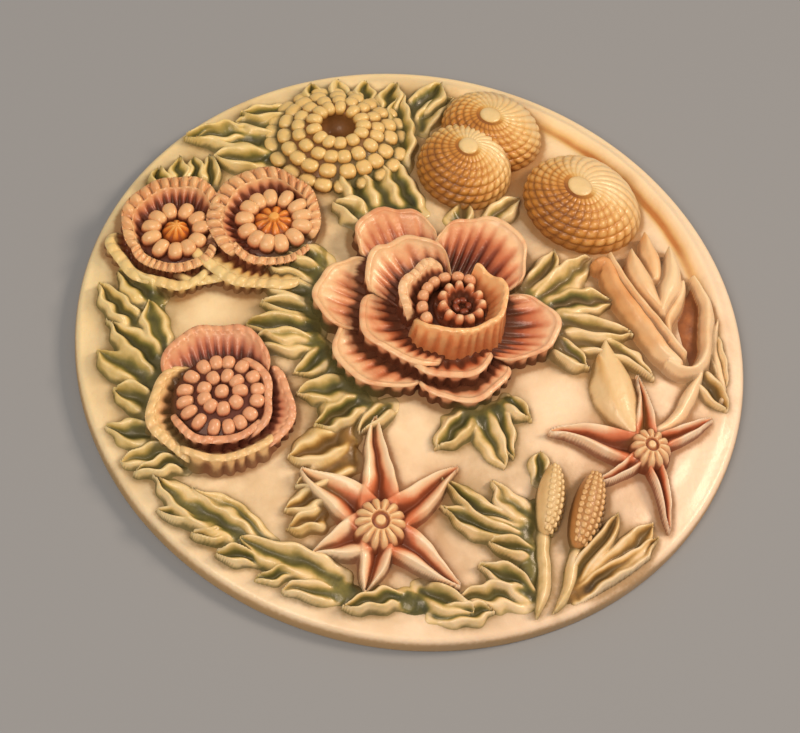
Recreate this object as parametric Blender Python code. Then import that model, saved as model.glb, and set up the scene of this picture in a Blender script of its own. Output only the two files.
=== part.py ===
# Round wall plaque of cast, hand-tinted resin: a low domed disc with a plain edge band, and on its face
# a bed of flowers and leaves in high relief, cast in one piece with it. The back is flat and plain.
# Metres, +Z out of the face, +Y towards the top as it hangs, origin at the centre of the flat back.
import math

import bmesh
import bpy
import numpy as np

# Driving dimensions of the disc
DIAMETER = 0.080
EDGE_HEIGHT = 0.0022
EDGE_ROUND = 0.0007
DOME_RISE = 0.0046

# How high each kind of form stands over the dome
ROSE_HEIGHT = 0.0060
BUTTERCUP_HEIGHT = 0.0037
CUP_HEIGHT = 0.0030
SEED_HEAD_HEIGHT = 0.0039
CONE_HEIGHT = 0.0050
STAR_HEIGHT = 0.0018
KNOB_HEIGHT = 0.0029
IRIS_HEIGHT = 0.0032
CATTAIL_HEIGHT = 0.0029
LEAF_HEIGHT = 0.0015
# How deep the hidden foot of every form is sunk in the dome
SINK = 0.0011

# The layout of the face is drawn for a radius of 40, and keeps its shares of the radius at any diameter
RADIUS = DIAMETER / 2
UNIT = RADIUS / 40

DISC_SIDES = 48
RESIN_COLOUR = (0.83, 0.70, 0.46, 1.0)
RESIN_ROUGHNESS = 0.32


def ground(x, y):
    """Height of the plain dome over the back: the edge height plus a rise that falls with radius squared."""
    return EDGE_HEIGHT + DOME_RISE * (1 - (x * x + y * y) / RADIUS ** 2)


def on_face(x, y, height):
    """Points at layout places x, y, standing the given heights over the dome."""
    x, y, height = np.broadcast_arrays(np.asarray(x) * UNIT, np.asarray(y) * UNIT, height)
    return np.stack([x, y, ground(x, y) + height], axis=-1)


def ring_solid(name, rings, collection, first_tip=None, last_tip=None):
    """A closed solid through a row of closed rings of points, ended by flat caps or by pointed tips."""
    form = bmesh.new()
    rows = [[form.verts.new(point) for point in ring] for ring in rings]
    sides = len(rows[0])
    for low, high in zip(rows, rows[1:]):
        for i in range(sides):
            j = (i + 1) % sides
            form.faces.new((low[i], low[j], high[j], high[i]))
    for row, tip in ((rows[0], first_tip), (rows[-1], last_tip)):
        if tip is None:
            form.faces.new(row)
            continue
        point = form.verts.new(tip)
        for i in range(sides):
            form.faces.new((row[i], row[(i + 1) % sides], point))
    bmesh.ops.triangulate(form, faces=form.faces)
    bmesh.ops.recalc_face_normals(form, faces=form.faces)
    mesh = bpy.data.meshes.new(name)
    form.to_mesh(mesh)
    form.free()
    solid = bpy.data.objects.new(name, mesh)
    collection.objects.link(solid)
    return solid


# Cross sections of long forms: how far across each point lies, and its share of the form's height
GROOVED = ((-0.72, 1.0), (0.0, 0.30), (0.72, 1.0))
ROUNDED = ((-0.70, 0.68), (0.0, 1.0), (0.70, 0.68))
ROLLED = ((-0.60, 0.25), (0.30, 0.75), (0.72, 1.0))


def long_form(name, root, tip, width, height, section=GROOVED, bend=0.0, fullness=0.55, stations=2):
    """A leaf, blade, stem or pod from root to tip: its middle is bent aside by a parabola, its width is a
    sine raised to the fullness, and its section is carried along and sunk into the dome."""
    (x0, y0), (x1, y1) = root, tip
    length = math.hypot(x1 - x0, y1 - y0)
    along = np.array([x1 - x0, y1 - y0]) / length
    aside = np.array([-along[1], along[0]])
    rings = []
    for t in (np.arange(stations) + 0.65) / (stations + 0.3):
        middle = np.array(root) + along * length * t + aside * bend * 4 * t * (1 - t)
        swell = math.sin(math.pi * t) ** fullness
        points = [(-1.0, -SINK)] + [(s, h * height * (0.55 + 0.45 * swell)) for s, h in section]
        points += [(1.0, -SINK)]
        across = np.array([s for s, _ in points]) * width / 2 * swell
        places = middle + across[:, None] * aside
        rings.append(on_face(places[:, 0], places[:, 1], np.array([h for _, h in points])))
    ends = [on_face(x, y, -SINK / 3) for x, y in (root, tip)]
    return ring_solid(name, rings, FORMS, *ends)


def cupped_petal(name, centre, reach, height, span, foot=None, floor=0.3, root=0.25, lip=1.0,
                 squash=1.0, lean=(0.0, 0.0), stations=6):
    """A dished petal round a centre: its profile climbs from a low root to a thick lip at the reach and
    drops outside to the foot, and it is carried round the span, lower and narrower at both ends."""
    foot = reach + 0.5 if foot is None else foot
    rings = []
    for u in np.linspace(0.0, 1.0, stations):
        angle = math.radians(span[0] + (span[1] - span[0]) * u)
        swell = math.sin(math.pi * (0.06 + 0.88 * u)) ** 0.5
        out = reach * (0.80 + 0.20 * swell)
        top = height * (0.45 + 0.55 * swell)
        profile = ((root * reach, floor * height), (out - lip, top), (out, 0.88 * top),
                   (foot * out / reach, -SINK), (root * reach, -SINK))
        r = np.array([p[0] for p in profile])
        h = np.array([p[1] for p in profile])
        shift = np.clip(h / height, 0, 1)
        x = centre[0] + r * math.cos(angle) + lean[0] * shift
        y = centre[1] + r * math.sin(angle) * squash + lean[1] * shift
        rings.append(on_face(x, y, h))
    return ring_solid(name, rings, FORMS)


def turned_form(name, centre, profile, sides, squash=1.0, beads=0.0, top=None, lean=(0.0, 0.0)):
    """A turned mound: a profile of radius and height from its foot to its middle, whose raised points go up
    and down by the bead share from side to side, and whose middle leans aside as it rises."""
    angle = np.arange(sides) / sides * 2 * math.pi
    peak = max(h for _, h, _ in profile)
    rings = [on_face(centre[0] + profile[0][0] * np.cos(angle),
                     centre[1] + profile[0][0] * np.sin(angle) * squash, -SINK)]
    for radius, height, beaded in profile:
        wave = 1 + beads * beaded * np.where(np.arange(sides) % 2 == 0, 1, -1)
        lift = height / peak
        rings.append(on_face(centre[0] + radius * np.cos(angle) + lean[0] * lift,
                             centre[1] + radius * np.sin(angle) * squash + lean[1] * lift,
                             height * wave))
    lift = top / peak
    middle = on_face(centre[0] + lean[0] * lift, centre[1] + lean[1] * lift, top)
    return ring_solid(name, rings, FORMS, None, middle)


def start_scene():
    """Empties the scene and gives the hidden collection that the cast forms are gathered in."""
    for old in list(bpy.data.objects):
        bpy.data.objects.remove(old)
    forms = bpy.data.collections.new("cast forms")
    bpy.context.scene.collection.children.link(forms)
    return forms


def disc_body():
    """The plain disc: a straight side, a rounded edge and a low dome, turned about Z."""
    angle = np.arange(DISC_SIDES) / DISC_SIDES * 2 * math.pi

    def circle(radius, height):
        return np.stack([radius * np.cos(angle), radius * np.sin(angle), np.full(DISC_SIDES, height)], -1)

    edge_top = EDGE_HEIGHT - EDGE_ROUND
    rings = [circle(RADIUS, 0.0), circle(RADIUS, edge_top)]
    rings.append(circle(RADIUS - 0.3 * EDGE_ROUND, EDGE_HEIGHT - 0.3 * EDGE_ROUND))
    inner = RADIUS - EDGE_ROUND
    rings.append(circle(inner, ground(inner, 0.0)))
    for share in (0.72, 0.38):
        rings.append(circle(share * RADIUS, ground(share * RADIUS, 0.0)))
    return ring_solid("plaque", rings, bpy.context.scene.collection, None, (0, 0, ground(0.0, 0.0)))


def rose():
    """The open rose at the middle: outer petals, a second row, a fluted wrap petal and a small inner cup."""
    h = ROSE_HEIGHT
    turned_form("rose bed", (2.2, -0.6), ((9.4, 0.10 * h, 0), (5.0, 0.38 * h, 0)), 10, top=0.5 * h)
    outer = (
        ("top", (-3.0, 9.3), 4.9, 0.53, (-15, 195), 1.0),
        ("upper right", (6.8, 7.6), 5.9, 0.57, (22, 170), 1.0),
        ("right upper", (8.8, 5.6), 4.2, 0.48, (-38, 62), 1.0),
        ("left", (-4.6, 1.0), 8.0, 0.48, (136, 220), 1.0),
        ("lower left", (-3.6, -4.6), 6.7, 0.46, (158, 302), 1.0),
        ("right", (10.4, -1.4), 6.0, 0.48, (-82, 78), 0.8),
        ("lower lip", (4.4, -4.6), 7.4, 0.37, (-138, -22), 1.0),
    )
    for name, centre, reach, share, span, squash in outer:
        cupped_petal("rose " + name, centre, reach, share * h, span, squash=squash, floor=0.38)
    second = (
        ("inner lip", (3.0, -2.2), 7.4, 0.55, (-137, -33), 1.0),
        ("upper left", (-1.4, 3.6), 5.3, 0.77, (15, 192), 1.0),
        ("lower left inner", (0.6, -1.4), 7.9, 0.62, (155, 278), 0.9),
    )
    for name, centre, reach, share, span, squash in second:
        cupped_petal("rose " + name, centre, reach, share * h, span, squash=squash, floor=0.42)
    cupped_petal("rose inner left", (3.4, 0.2), 6.2, 0.93 * h, (108, 228), foot=6.8, floor=0.55, root=0.5)
    cupped_petal("rose wrap", (3.6, 0.2), 5.4, h, (-152, 64), foot=7.0, floor=0.55, root=0.5,
                 lean=(0.0, 0.7), stations=9)
    turned_form("rose heart", (4.6, -0.3), ((3.4, 0.5 * h, 0), (2.8, 0.82 * h, 1), (1.6, 0.80 * h, 1)), 12,
                beads=0.05, top=0.5 * h)


def buttercup():
    """The many-petalled flower at the left: a beaded disc in two rows of fluted, wrapped petals."""
    h = BUTTERCUP_HEIGHT
    disc = ((5.4, 0.3 * h, 0), (4.7, 0.70 * h, 1), (3.4, 0.86 * h, -1), (1.9, 0.94 * h, 1))
    turned_form("buttercup disc", (-22.7, -12.4), disc, 16, beads=0.06, top=h)
    petals = (
        ("top", (-23.5, -9.8), 6.6, 0.88, (12, 165), None),
        ("right inner", (-22.9, -13.0), 6.3, 0.80, (-52, 62), None),
        ("right outer", (-22.4, -13.0), 8.1, 0.55, (-42, 40), None),
        ("left", (-22.4, -13.5), 8.4, 0.62, (138, 238), None),
        ("lower inner", (-22.8, -12.6), 6.2, 0.80, (203, 332), None),
        ("lower", (-22.6, -12.9), 7.7, 0.64, (-128, -38), 9.4),
    )
    for name, centre, reach, share, span, foot in petals:
        cupped_petal("buttercup " + name, centre, reach, share * h, span, foot=foot, root=0.5)


def cup_flowers():
    """The twin coiled flowers at the upper left, each a beaded heart in fluted rims with a cream petal."""
    h = CUP_HEIGHT
    heart = ((3.9, 0.35 * h, 0), (3.3, 0.85 * h, 1), (2.3, 0.82 * h, 1), (1.3, 0.7 * h, 0))
    turned_form("left heart", (-28.9, 10.8), heart, 12, beads=0.10, top=h)
    turned_form("right heart", (-17.4, 12.2), heart, 12, beads=0.10, top=0.85 * h)
    rim = ((6.2, -0.2 * h, 0), (5.6, 0.62 * h, 1), (4.9, 0.92 * h, 1), (4.1, 0.35 * h, 0))
    turned_form("left rim", (-29.3, 11.9), rim, 16, squash=1.12, beads=0.07, top=0.3 * h)
    rim = ((6.9, -0.2 * h, 0), (6.3, 0.7 * h, 1), (5.3, h, 1), (4.3, 0.35 * h, 0))
    turned_form("right rim", (-18.5, 12.6), rim, 18, squash=1.04, beads=0.07, top=0.3 * h)
    cupped_petal("left lower petal", (-29.3, 10.6), 6.6, 0.55 * h, (180, 312), root=0.6)
    cupped_petal("right lower petal", (-18.5, 11.0), 7.7, 0.52 * h, (188, 296), root=0.6)


def seed_head():
    """The tall seed head at the top left: rings of beads round a deep hole."""
    h = SEED_HEAD_HEIGHT
    rings = ((8.4, 0.0, 0), (7.2, 0.42 * h, 1), (5.8, 0.66 * h, -1), (4.4, 0.85 * h, 1), (3.2, h, -1),
             (2.0, 0.5 * h, 0))
    turned_form("seed head", (-9.9, 26.6), rings, 20, beads=0.09, top=0.4 * h)


def scaled_cones():
    """The three scaled cones at the upper right, each a steep mound with a button on top."""
    h = CONE_HEIGHT
    for name, centre, width, squash, lean in (("front cone", (5.8, 22.6), 5.8, 1.08, (0.0, 0.6)),
                                              ("back cone", (9.6, 29.6), 6.3, 1.06, (-0.9, -0.8)),
                                              ("right cone", (20.6, 19.0), 7.4, 1.0, (-1.2, -0.4))):
        rows = ((0.95 * width, 0.40 * h, 1), (0.76 * width, 0.72 * h, -1), (0.46 * width, 0.92 * h, 1))
        turned_form(name, centre, rows, 16, squash=squash, beads=0.04, top=h, lean=lean)


def star_flowers():
    """The two open star flowers at the bottom and right, each a ribbed knob with grooved, pointed petals."""
    big = (-4.4, -27.5)
    for tip, width in (((-5.0, -14.4), 3.4), ((4.4, -20.3), 3.4), ((4.8, -33.6), 3.4),
                       ((-5.8, -35.9), 3.2), ((-11.5, -30.8), 3.6), ((-13.0, -20.8), 3.8)):
        long_form("star petal", big, tip, width, STAR_HEIGHT, fullness=0.35)
    small = (27.1, -15.4)
    for tip, width in (((26.0, -5.8), 3.2), ((35.3, -9.9), 2.4), ((29.4, -24.6), 3.0), ((20.2, -20.6), 2.8),
                       ((15.2, -14.2), 4.2)):
        long_form("little star petal", small, tip, width, STAR_HEIGHT, fullness=0.35)
    for name, centre, radius, sides in (("big knob", big, 3.1, 14), ("little knob", small, 2.5, 10)):
        rows = ((radius, 0.6 * KNOB_HEIGHT, 1), (0.6 * radius, KNOB_HEIGHT, 1))
        turned_form(name, centre, rows, sides, beads=0.05, top=0.9 * KNOB_HEIGHT)


def iris():
    """The iris at the right: two upright pods between curled petals, on a long curved stem."""
    h = IRIS_HEIGHT
    long_form("iris pod left", (28.2, 1.5), (26.6, 14.0), 2.7, h, ROUNDED, 0.4)
    long_form("iris pod right", (28.6, 0.8), (30.4, 13.4), 2.7, h, ROUNDED, -0.7)
    long_form("iris pod outer", (29.6, 1.5), (33.6, 9.4), 2.2, 0.75 * h, ROUNDED, -0.5)
    long_form("iris left petal", (31.8, -4.0), (22.6, 10.6), 4.6, 0.85 * h, ROLLED, 1.6, stations=4)
    long_form("iris right petal", (30.6, -4.6), (33.6, 9.8), 3.4, 0.75 * h, GROOVED, -1.8, stations=4)
    long_form("iris stem", (28.2, -12.6), (34.4, -0.5), 1.9, 0.5 * h, ROUNDED, -0.9, stations=3)


def cattails():
    """The two cattails at the lower right: beaded heads on long thin stems."""
    h = CATTAIL_HEIGHT
    long_form("pale head", (14.4, -27.3), (15.6, -18.6), 3.9, h, ROUNDED, 0.2, fullness=0.4, stations=3)
    long_form("dark head", (18.2, -28.4), (20.6, -18.9), 4.3, h, ROUNDED, 0.3, fullness=0.4, stations=3)
    long_form("pale stem", (14.0, -36.4), (14.7, -25.6), 1.9, 0.5 * h, ROUNDED, fullness=0.3)
    long_form("dark stem", (15.4, -36.2), (18.7, -26.6), 1.8, 0.45 * h, ROUNDED, 0.5, fullness=0.3)


def leaves():
    """Leaves and blades: each has a root, a tip, a width and how far its middle bends aside."""
    h = LEAF_HEIGHT
    grooved = (
        # right of the rose
        ((13.0, 4.2), (16.9, 10.9), 3.2, 0), ((14.0, 3.4), (21.4, 10.4), 3.7, 0),
        ((15.5, 2.0), (23.2, 4.8), 3.2, 0.4), ((16.5, 0.2), (25.4, -0.2), 3.2, 0.5),
        ((15.0, -2.6), (19.8, -5.4), 2.9, 0.5), ((18.5, -1.6), (28.4, -5.2), 2.9, 0.9),
        ((4.3, 14.0), (6.5, 17.2), 2.7, 0), ((9.0, 14.8), (12.2, 18.6), 3.2, 0),
        # above the rose
        ((-6.0, 15.3), (-9.5, 23.6), 3.4, 0.3), ((-3.4, 15.8), (-6.8, 23.6), 3.2, 0.2),
        ((-0.8, 15.4), (-3.6, 24.0), 3.7, 0), ((-6.2, 13.3), (-10.0, 15.6), 3.7, -0.4),
        ((-2.2, 22.5), (-1.8, 34.6), 3.7, 0.3), ((0.8, 29.6), (4.6, 35.4), 2.9, 0.3),
        # over the top edge
        ((-12.6, 32.2), (-13.2, 36.0), 2.9, 0), ((-9.2, 32.4), (-9.3, 36.8), 3.2, 0),
        ((-6.2, 31.8), (-6.0, 37.2), 2.9, 0), ((-3.2, 31.0), (-2.8, 37.2), 3.2, 0), ((0, 32), (3.2, 37.0), 3.7, 0),
        # upper left
        ((-15.0, 31.6), (-21.8, 30.6), 2.9, 0), ((-16.8, 28.2), (-22.4, 29.4), 3.2, 0),
        ((-18.0, 25.6), (-26.6, 26.3), 3.9, -0.4), ((-17.8, 22.6), (-24.6, 23.4), 3.7, 0),
        ((-20.5, 28.0), (-28.4, 26.6), 2.7, 0.5), ((-25.3, 19.0), (-25.3, 23.2), 2.2, 0),
        ((-27.0, 18.6), (-27.3, 23.2), 2.0, 0), ((-28.8, 18.4), (-29.4, 23.0), 2.0, 0),
        ((-30.5, 17.8), (-31.6, 21.4), 2.2, 0),
        # left of the rose
        ((-11.2, 7.0), (-15.6, 8.4), 3.4, 0), ((-12.0, 5.0), (-18.4, 6.6), 3.2, -0.3),
        ((-12.2, 2.2), (-18.0, 3.0), 2.9, 0), ((-12.6, -0.2), (-18.2, 0.6), 2.7, 0),
        ((-12.0, -2.6), (-20.2, -2.4), 3.5, 0.3), ((-11.8, -4.4), (-19.8, -4.6), 2.9, -0.3),
        ((-11.0, -5.6), (-14.2, -8.4), 3.2, 0.4), ((-8.4, -9.8), (-13.6, -11.2), 3.2, 0.4),
        ((-6.6, -11.4), (-11.8, -15.4), 3.4, 0.3), ((-3.8, -12.4), (-6.4, -15.8), 2.7, 0),
        # between the buttercup and the big star
        ((-8.3, -15.8), (-14.8, -19.2), 4.1, 0.4), ((-7.8, -19.4), (-13.4, -22.4), 3.4, 0),
        ((-9.4, -23.2), (-15.2, -25.2), 2.9, 0), ((-10.4, -26.4), (-14.8, -27.4), 2.7, 0),
        # left border
        ((-29.6, -8.2), (-36.0, -1.0), 3.7, 0), ((-30.8, -9.8), (-37.2, -5.0), 3.2, 0),
        ((-29.4, -5.6), (-31.6, 1.2), 2.9, 0), ((-32.6, -1.4), (-37.4, 3.6), 2.9, 0),
        ((-31.0, 1.8), (-35.6, 5.6), 2.9, 0), ((-30.2, -12.4), (-34.8, -10.6), 3.2, 0),
        ((-29.0, -16.4), (-35.6, -15.4), 3.2, 0), ((-27.6, -18.6), (-33.4, -19.2), 2.9, 0),
        ((-26.6, -20.0), (-31.8, -20.9), 2.4, 0),
        # lower border
        ((-22.2, -25.8), (-28.8, -23.2), 2.7, 0), ((-20.4, -28.7), (-27.6, -24.8), 2.9, 0),
        ((-21.4, -30.0), (-28.2, -27.0), 2.4, 0), ((-14.3, -30.4), (-21.0, -28.9), 2.7, 0),
        ((-15.8, -33.4), (-24.2, -30.4), 2.7, 0), ((-9.3, -33.0), (-18.0, -30.6), 2.9, 0),
        ((-9.0, -35.5), (-15.2, -34.0), 2.4, 0), ((-1.4, -35.8), (-8.2, -36.9), 2.7, 0),
        ((0.4, -34.2), (6.2, -36.6), 2.9, 0), ((1.4, -37.4), (8.8, -36.4), 2.4, 0),
        # left of the cattails
        ((13.2, -26.6), (3.0, -21.4), 2.9, 0.8), ((13.3, -25.6), (8.6, -21.0), 2.7, 0.3),
        ((13.0, -27.3), (2.6, -24.7), 2.9, 0.5), ((13.2, -29.4), (7.8, -28.4), 2.4, 0),
        ((13.3, -34.0), (7.2, -31.2), 2.4, 0), ((12.8, -34.2), (4.6, -35.0), 2.7, 0),
        ((13.9, -20.2), (14.4, -16.6), 2.2, 0),
        # below the rose
        ((6.2, -12.6), (1.8, -17.2), 3.4, 0), ((7.2, -13.2), (9.6, -18.8), 3.4, 0),
        ((9.0, -12.0), (10.8, -17.4), 2.7, 0), ((10.0, -10.8), (12.8, -12.8), 2.2, 0),
        # right border and the blades by the cattails
        ((33.0, -3.8), (37.2, -8.0), 2.7, 0), ((36.0, 2.4), (36.8, -5.0), 2.2, 0),
        ((19.6, -33.2), (27.6, -24.3), 3.2, 0), ((17.8, -32.0), (23.4, -23.6), 2.4, 0),
        ((17.2, -36.0), (28.4, -26.6), 2.2, -0.4),
    )
    for root, tip, width, bend in grooved:
        long_form("leaf", root, tip, width, h, bend=bend)
    long_form("smooth bud", (25.6, -13.2), (22.4, -1.6), 5.0, 1.3 * h, ROUNDED, 1.0, stations=3)


def resin():
    """Cream casting resin with a gloss wash."""
    material = bpy.data.materials.new("tinted resin")
    material.use_nodes = True
    shader = material.node_tree.nodes["Principled BSDF"]
    shader.inputs["Base Color"].default_value = RESIN_COLOUR
    shader.inputs["Roughness"].default_value = RESIN_ROUGHNESS
    shader.inputs["Metallic"].default_value = 0.0
    return material


FORMS = start_scene()
plaque = disc_body()
for make in (rose, buttercup, cup_flowers, seed_head, scaled_cones, star_flowers, iris, cattails, leaves):
    make()
for form in FORMS.objects:
    form.hide_render = True
    form.display_type = "WIRE"
join = plaque.modifiers.new("cast in one piece", "BOOLEAN")
join.operation = "UNION"
join.solver = "EXACT"
join.operand_type = "COLLECTION"
join.collection = FORMS
plaque.data.materials.append(resin())
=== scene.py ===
import math

import bpy
import numpy as np
from mathutils import Matrix, Vector


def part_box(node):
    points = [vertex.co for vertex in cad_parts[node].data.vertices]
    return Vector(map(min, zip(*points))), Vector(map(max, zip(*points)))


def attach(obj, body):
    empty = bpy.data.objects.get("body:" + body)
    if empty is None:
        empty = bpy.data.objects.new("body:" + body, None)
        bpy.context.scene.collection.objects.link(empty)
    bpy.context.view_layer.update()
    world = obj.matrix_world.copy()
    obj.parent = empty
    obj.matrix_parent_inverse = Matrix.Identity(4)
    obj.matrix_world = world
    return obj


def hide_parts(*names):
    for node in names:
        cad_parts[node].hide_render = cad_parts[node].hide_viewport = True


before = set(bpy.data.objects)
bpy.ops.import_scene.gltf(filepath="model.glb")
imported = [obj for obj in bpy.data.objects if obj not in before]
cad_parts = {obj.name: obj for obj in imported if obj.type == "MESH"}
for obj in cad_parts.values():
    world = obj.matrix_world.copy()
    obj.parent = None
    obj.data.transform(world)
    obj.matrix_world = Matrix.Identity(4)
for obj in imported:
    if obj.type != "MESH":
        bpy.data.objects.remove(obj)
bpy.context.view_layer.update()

# The camera
# Looks down at the plaque from below its bottom edge, from 30 cm away, with the picture turned so that the
# plaque's top leans to the right, as in the photograph.
AIM = Vector((-0.00144, -0.00276, 0.0))
AZIMUTH = math.radians(-10.29)
ELEVATION = math.radians(57.68)
ROLL = math.radians(12.13)
DISTANCE = 0.300
LENS_MM = 113.4
SENSOR_MM = 36.0


def look_at_plaque():
    """A camera on a sphere about the aim: it faces back along its own radius and is rolled about it."""
    back = Vector((math.sin(AZIMUTH) * math.cos(ELEVATION), -math.cos(AZIMUTH) * math.cos(ELEVATION),
                   math.sin(ELEVATION)))
    level = Vector((math.cos(AZIMUTH), math.sin(AZIMUTH), 0.0))
    upright = back.cross(level)
    right = level * math.cos(ROLL) + upright * math.sin(ROLL)
    up = upright * math.cos(ROLL) - level * math.sin(ROLL)
    lens = bpy.data.cameras.new("camera")
    lens.sensor_width = SENSOR_MM
    lens.lens = LENS_MM
    lens.clip_start = 0.01
    camera = bpy.data.objects.new("camera", lens)
    place = AIM + back * DISTANCE
    camera.matrix_world = Matrix(((right.x, up.x, back.x, place.x), (right.y, up.y, back.y, place.y),
                                  (right.z, up.z, back.z, place.z), (0, 0, 0, 1)))
    bpy.context.scene.collection.objects.link(camera)
    bpy.context.scene.camera = camera


look_at_plaque()
bpy.context.scene.view_settings.view_transform = "Standard"

# The floor and the light
# A plain pale floor under the plaque, a warm softbox at its right, so that shade falls to the left, a broad
# one high in front at the left, and a weak sky that fills the hollows.
FLOOR_HALF = 1.5
FLOOR_GAP = 0.0001
FLOOR_COLOUR = "#969ca4"
SKY_COLOUR = "#f4f1ec"
SKY_STRENGTH = 0.30
# Each softbox: name, azimuth and elevation in degrees, distance and side in metres, watts, colour
SOFTBOXES = (("key", 14, 42, 0.90, 0.24, 4.5, "#ffe2c4"), ("fill", -125, 56, 1.00, 0.50, 5.7, "#ffe8d0"))


def linear(code):
    """A linear colour from an sRGB hex code: each channel through the sRGB curve."""
    channels = [int(code[i:i + 2], 16) / 255 for i in (1, 3, 5)]
    return tuple(c / 12.92 if c <= 0.04045 else ((c + 0.055) / 1.055) ** 2.4 for c in channels) + (1.0,)


def add_node(tree, kind, inputs, out=0, **settings):
    """A node of one kind with its settings; each input is linked from a socket or set to a value. Returns one
    of its output sockets."""
    node = tree.nodes.new("ShaderNode" + kind)
    for name, value in settings.items():
        setattr(node, name, value)
    for name, value in inputs.items():
        if isinstance(value, bpy.types.NodeSocket):
            tree.links.new(value, node.inputs[name])
        else:
            node.inputs[name].default_value = value
    return node.outputs[out]


def lay_floor():
    """A square sheet a hair below the plaque's back."""
    mesh = bpy.data.meshes.new("floor")
    corners = [(x * FLOOR_HALF, y * FLOOR_HALF, -FLOOR_GAP) for x, y in ((-1, -1), (1, -1), (1, 1), (-1, 1))]
    mesh.from_pydata(corners, [], [(0, 1, 2, 3)])
    paint = bpy.data.materials.new("pale_matt_board")
    paint.use_nodes = True
    shader = paint.node_tree.nodes["Principled BSDF"]
    shader.inputs["Base Color"].default_value = linear(FLOOR_COLOUR)
    shader.inputs["Roughness"].default_value = 0.8
    shader.inputs["Specular IOR Level"].default_value = 0.2
    mesh.materials.append(paint)
    floor = bpy.data.objects.new("floor", mesh)
    bpy.context.scene.collection.objects.link(floor)


def softbox(name, azimuth, elevation, distance, size, watts, colour):
    """A square area light on a sphere about the plaque, turned to face it."""
    azimuth, elevation = math.radians(azimuth), math.radians(elevation)
    light = bpy.data.lights.new(name, "AREA")
    light.size = size
    light.energy = watts
    light.color = linear(colour)[:3]
    away = Vector((math.cos(azimuth) * math.cos(elevation), math.sin(azimuth) * math.cos(elevation),
                   math.sin(elevation)))
    lamp = bpy.data.objects.new(name, light)
    lamp.location = away * distance
    lamp.rotation_euler = (-away).to_track_quat("-Z", "Y").to_euler()
    bpy.context.scene.collection.objects.link(lamp)


lay_floor()
for lamp_values in SOFTBOXES:
    softbox(*lamp_values)
sky = bpy.data.worlds.new("sky")
sky.use_nodes = True
sky.node_tree.nodes["Background"].inputs["Color"].default_value = linear(SKY_COLOUR)
sky.node_tree.nodes["Background"].inputs["Strength"].default_value = SKY_STRENGTH
bpy.context.scene.world = sky

# The disc
# The plaque's body: a low domed disc with a straight side, a rounded edge and a faint raised border, of cream
# casting resin. It is poured in one mould with everything on it, so every form is rooted in its dome.
low_corner, high_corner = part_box("plaque")
RADIUS = (high_corner[0] - low_corner[0]) / 2
# The face is laid out in fortieths of the radius; heights are in millimetres
FACE = 40
UNIT = RADIUS / FACE
MM = 0.001
EDGE_HEIGHT = 2.2
EDGE_ROUND = 0.9
BACK_ROUND = 0.25
DOME_RISE = 4.6
SINK = 1.1
DISC_SECTORS = 620
DISC_RINGS = 140
BODY = "root"
DISC_TINTS = ((0.0, "#fff6e6"), (0.35, "#fbecd0"), (0.7, "#e9cc96"), (1.0, "#c08244"))
# The resin is yellower at the upper left of the plaque and pinker at the lower right: partly its own tint,
# partly painted light as the light falls across the plaque
YELLOW_CAST = "#fff0bc"
PINK_CAST = "#ffece0"
CAST_SLOPE = (11.0, -9.0, 0.0)
# Noises in the resin, as size in millimetres and detail: patches and a finer wander of the tint, wash pools
NOISES = ((7.69, 1.0), (2.083, 3.0), (0.5882, 2.0))


def to_upper_right(x, y):
    """1 in the direction of the plaque's upper right border, 0 on the other sides: a power of a cosine."""
    return np.clip((x * 0.77 + y * 0.64) / np.maximum(np.hypot(x, y), 1), 0, 1) ** 4


def ground(x, y):
    """Height of the face: the edge height plus a rise that falls with the square of the radius, slow waves as
    on a hand-modelled master, and a raised border with a dip inside it, strongest at the upper right."""
    radius = np.hypot(x, y)
    strong = 1 + 5.0 * to_upper_right(x, y)
    waves = 0.10 * np.sin(0.42 * x + 1.3) * np.cos(0.37 * y) + 0.05 * np.sin(0.9 * x - 0.7 * y)
    border = 0.10 * np.exp(-((radius - 38.0) / 0.9) ** 2) - 0.08 * np.exp(-((radius - 36.0) / 0.9) ** 2)
    relief = (waves + strong * border) * np.clip((39.3 - radius) / 1.5, 0, 1)
    return EDGE_HEIGHT + DOME_RISE * (1 - radius ** 2 / FACE ** 2) + relief


def on_face(x, y, height):
    """Points at layout places x, y, standing the given heights over the dome, in metres."""
    x, y, height = np.broadcast_arrays(x, y, height)
    return np.stack([x * UNIT, y * UNIT, (ground(x, y) + height) * MM], axis=-1)


made = []


def add_piece(name, points, paint, corners, sizes, material):
    """A smooth mesh piece from its points, their paint values, face corners and face sizes."""
    mesh = bpy.data.meshes.new(name)
    mesh.vertices.add(len(points))
    mesh.vertices.foreach_set("co", points.astype(np.float32).reshape(-1))
    mesh.loops.add(len(corners))
    mesh.loops.foreach_set("vertex_index", corners.astype(np.int32))
    mesh.polygons.add(len(sizes))
    mesh.polygons.foreach_set("loop_start", (np.cumsum(sizes) - sizes).astype(np.int32))
    mesh.update(calc_edges=True)
    mesh.validate()
    mesh.shade_smooth()
    mesh.attributes.new("paint", "FLOAT", "POINT").data.foreach_set("value", paint.astype(np.float32))
    mesh.materials.append(material)
    piece = bpy.data.objects.new(name, mesh)
    bpy.context.scene.collection.objects.link(piece)
    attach(piece, BODY)
    made.append(piece)
    return piece


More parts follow.
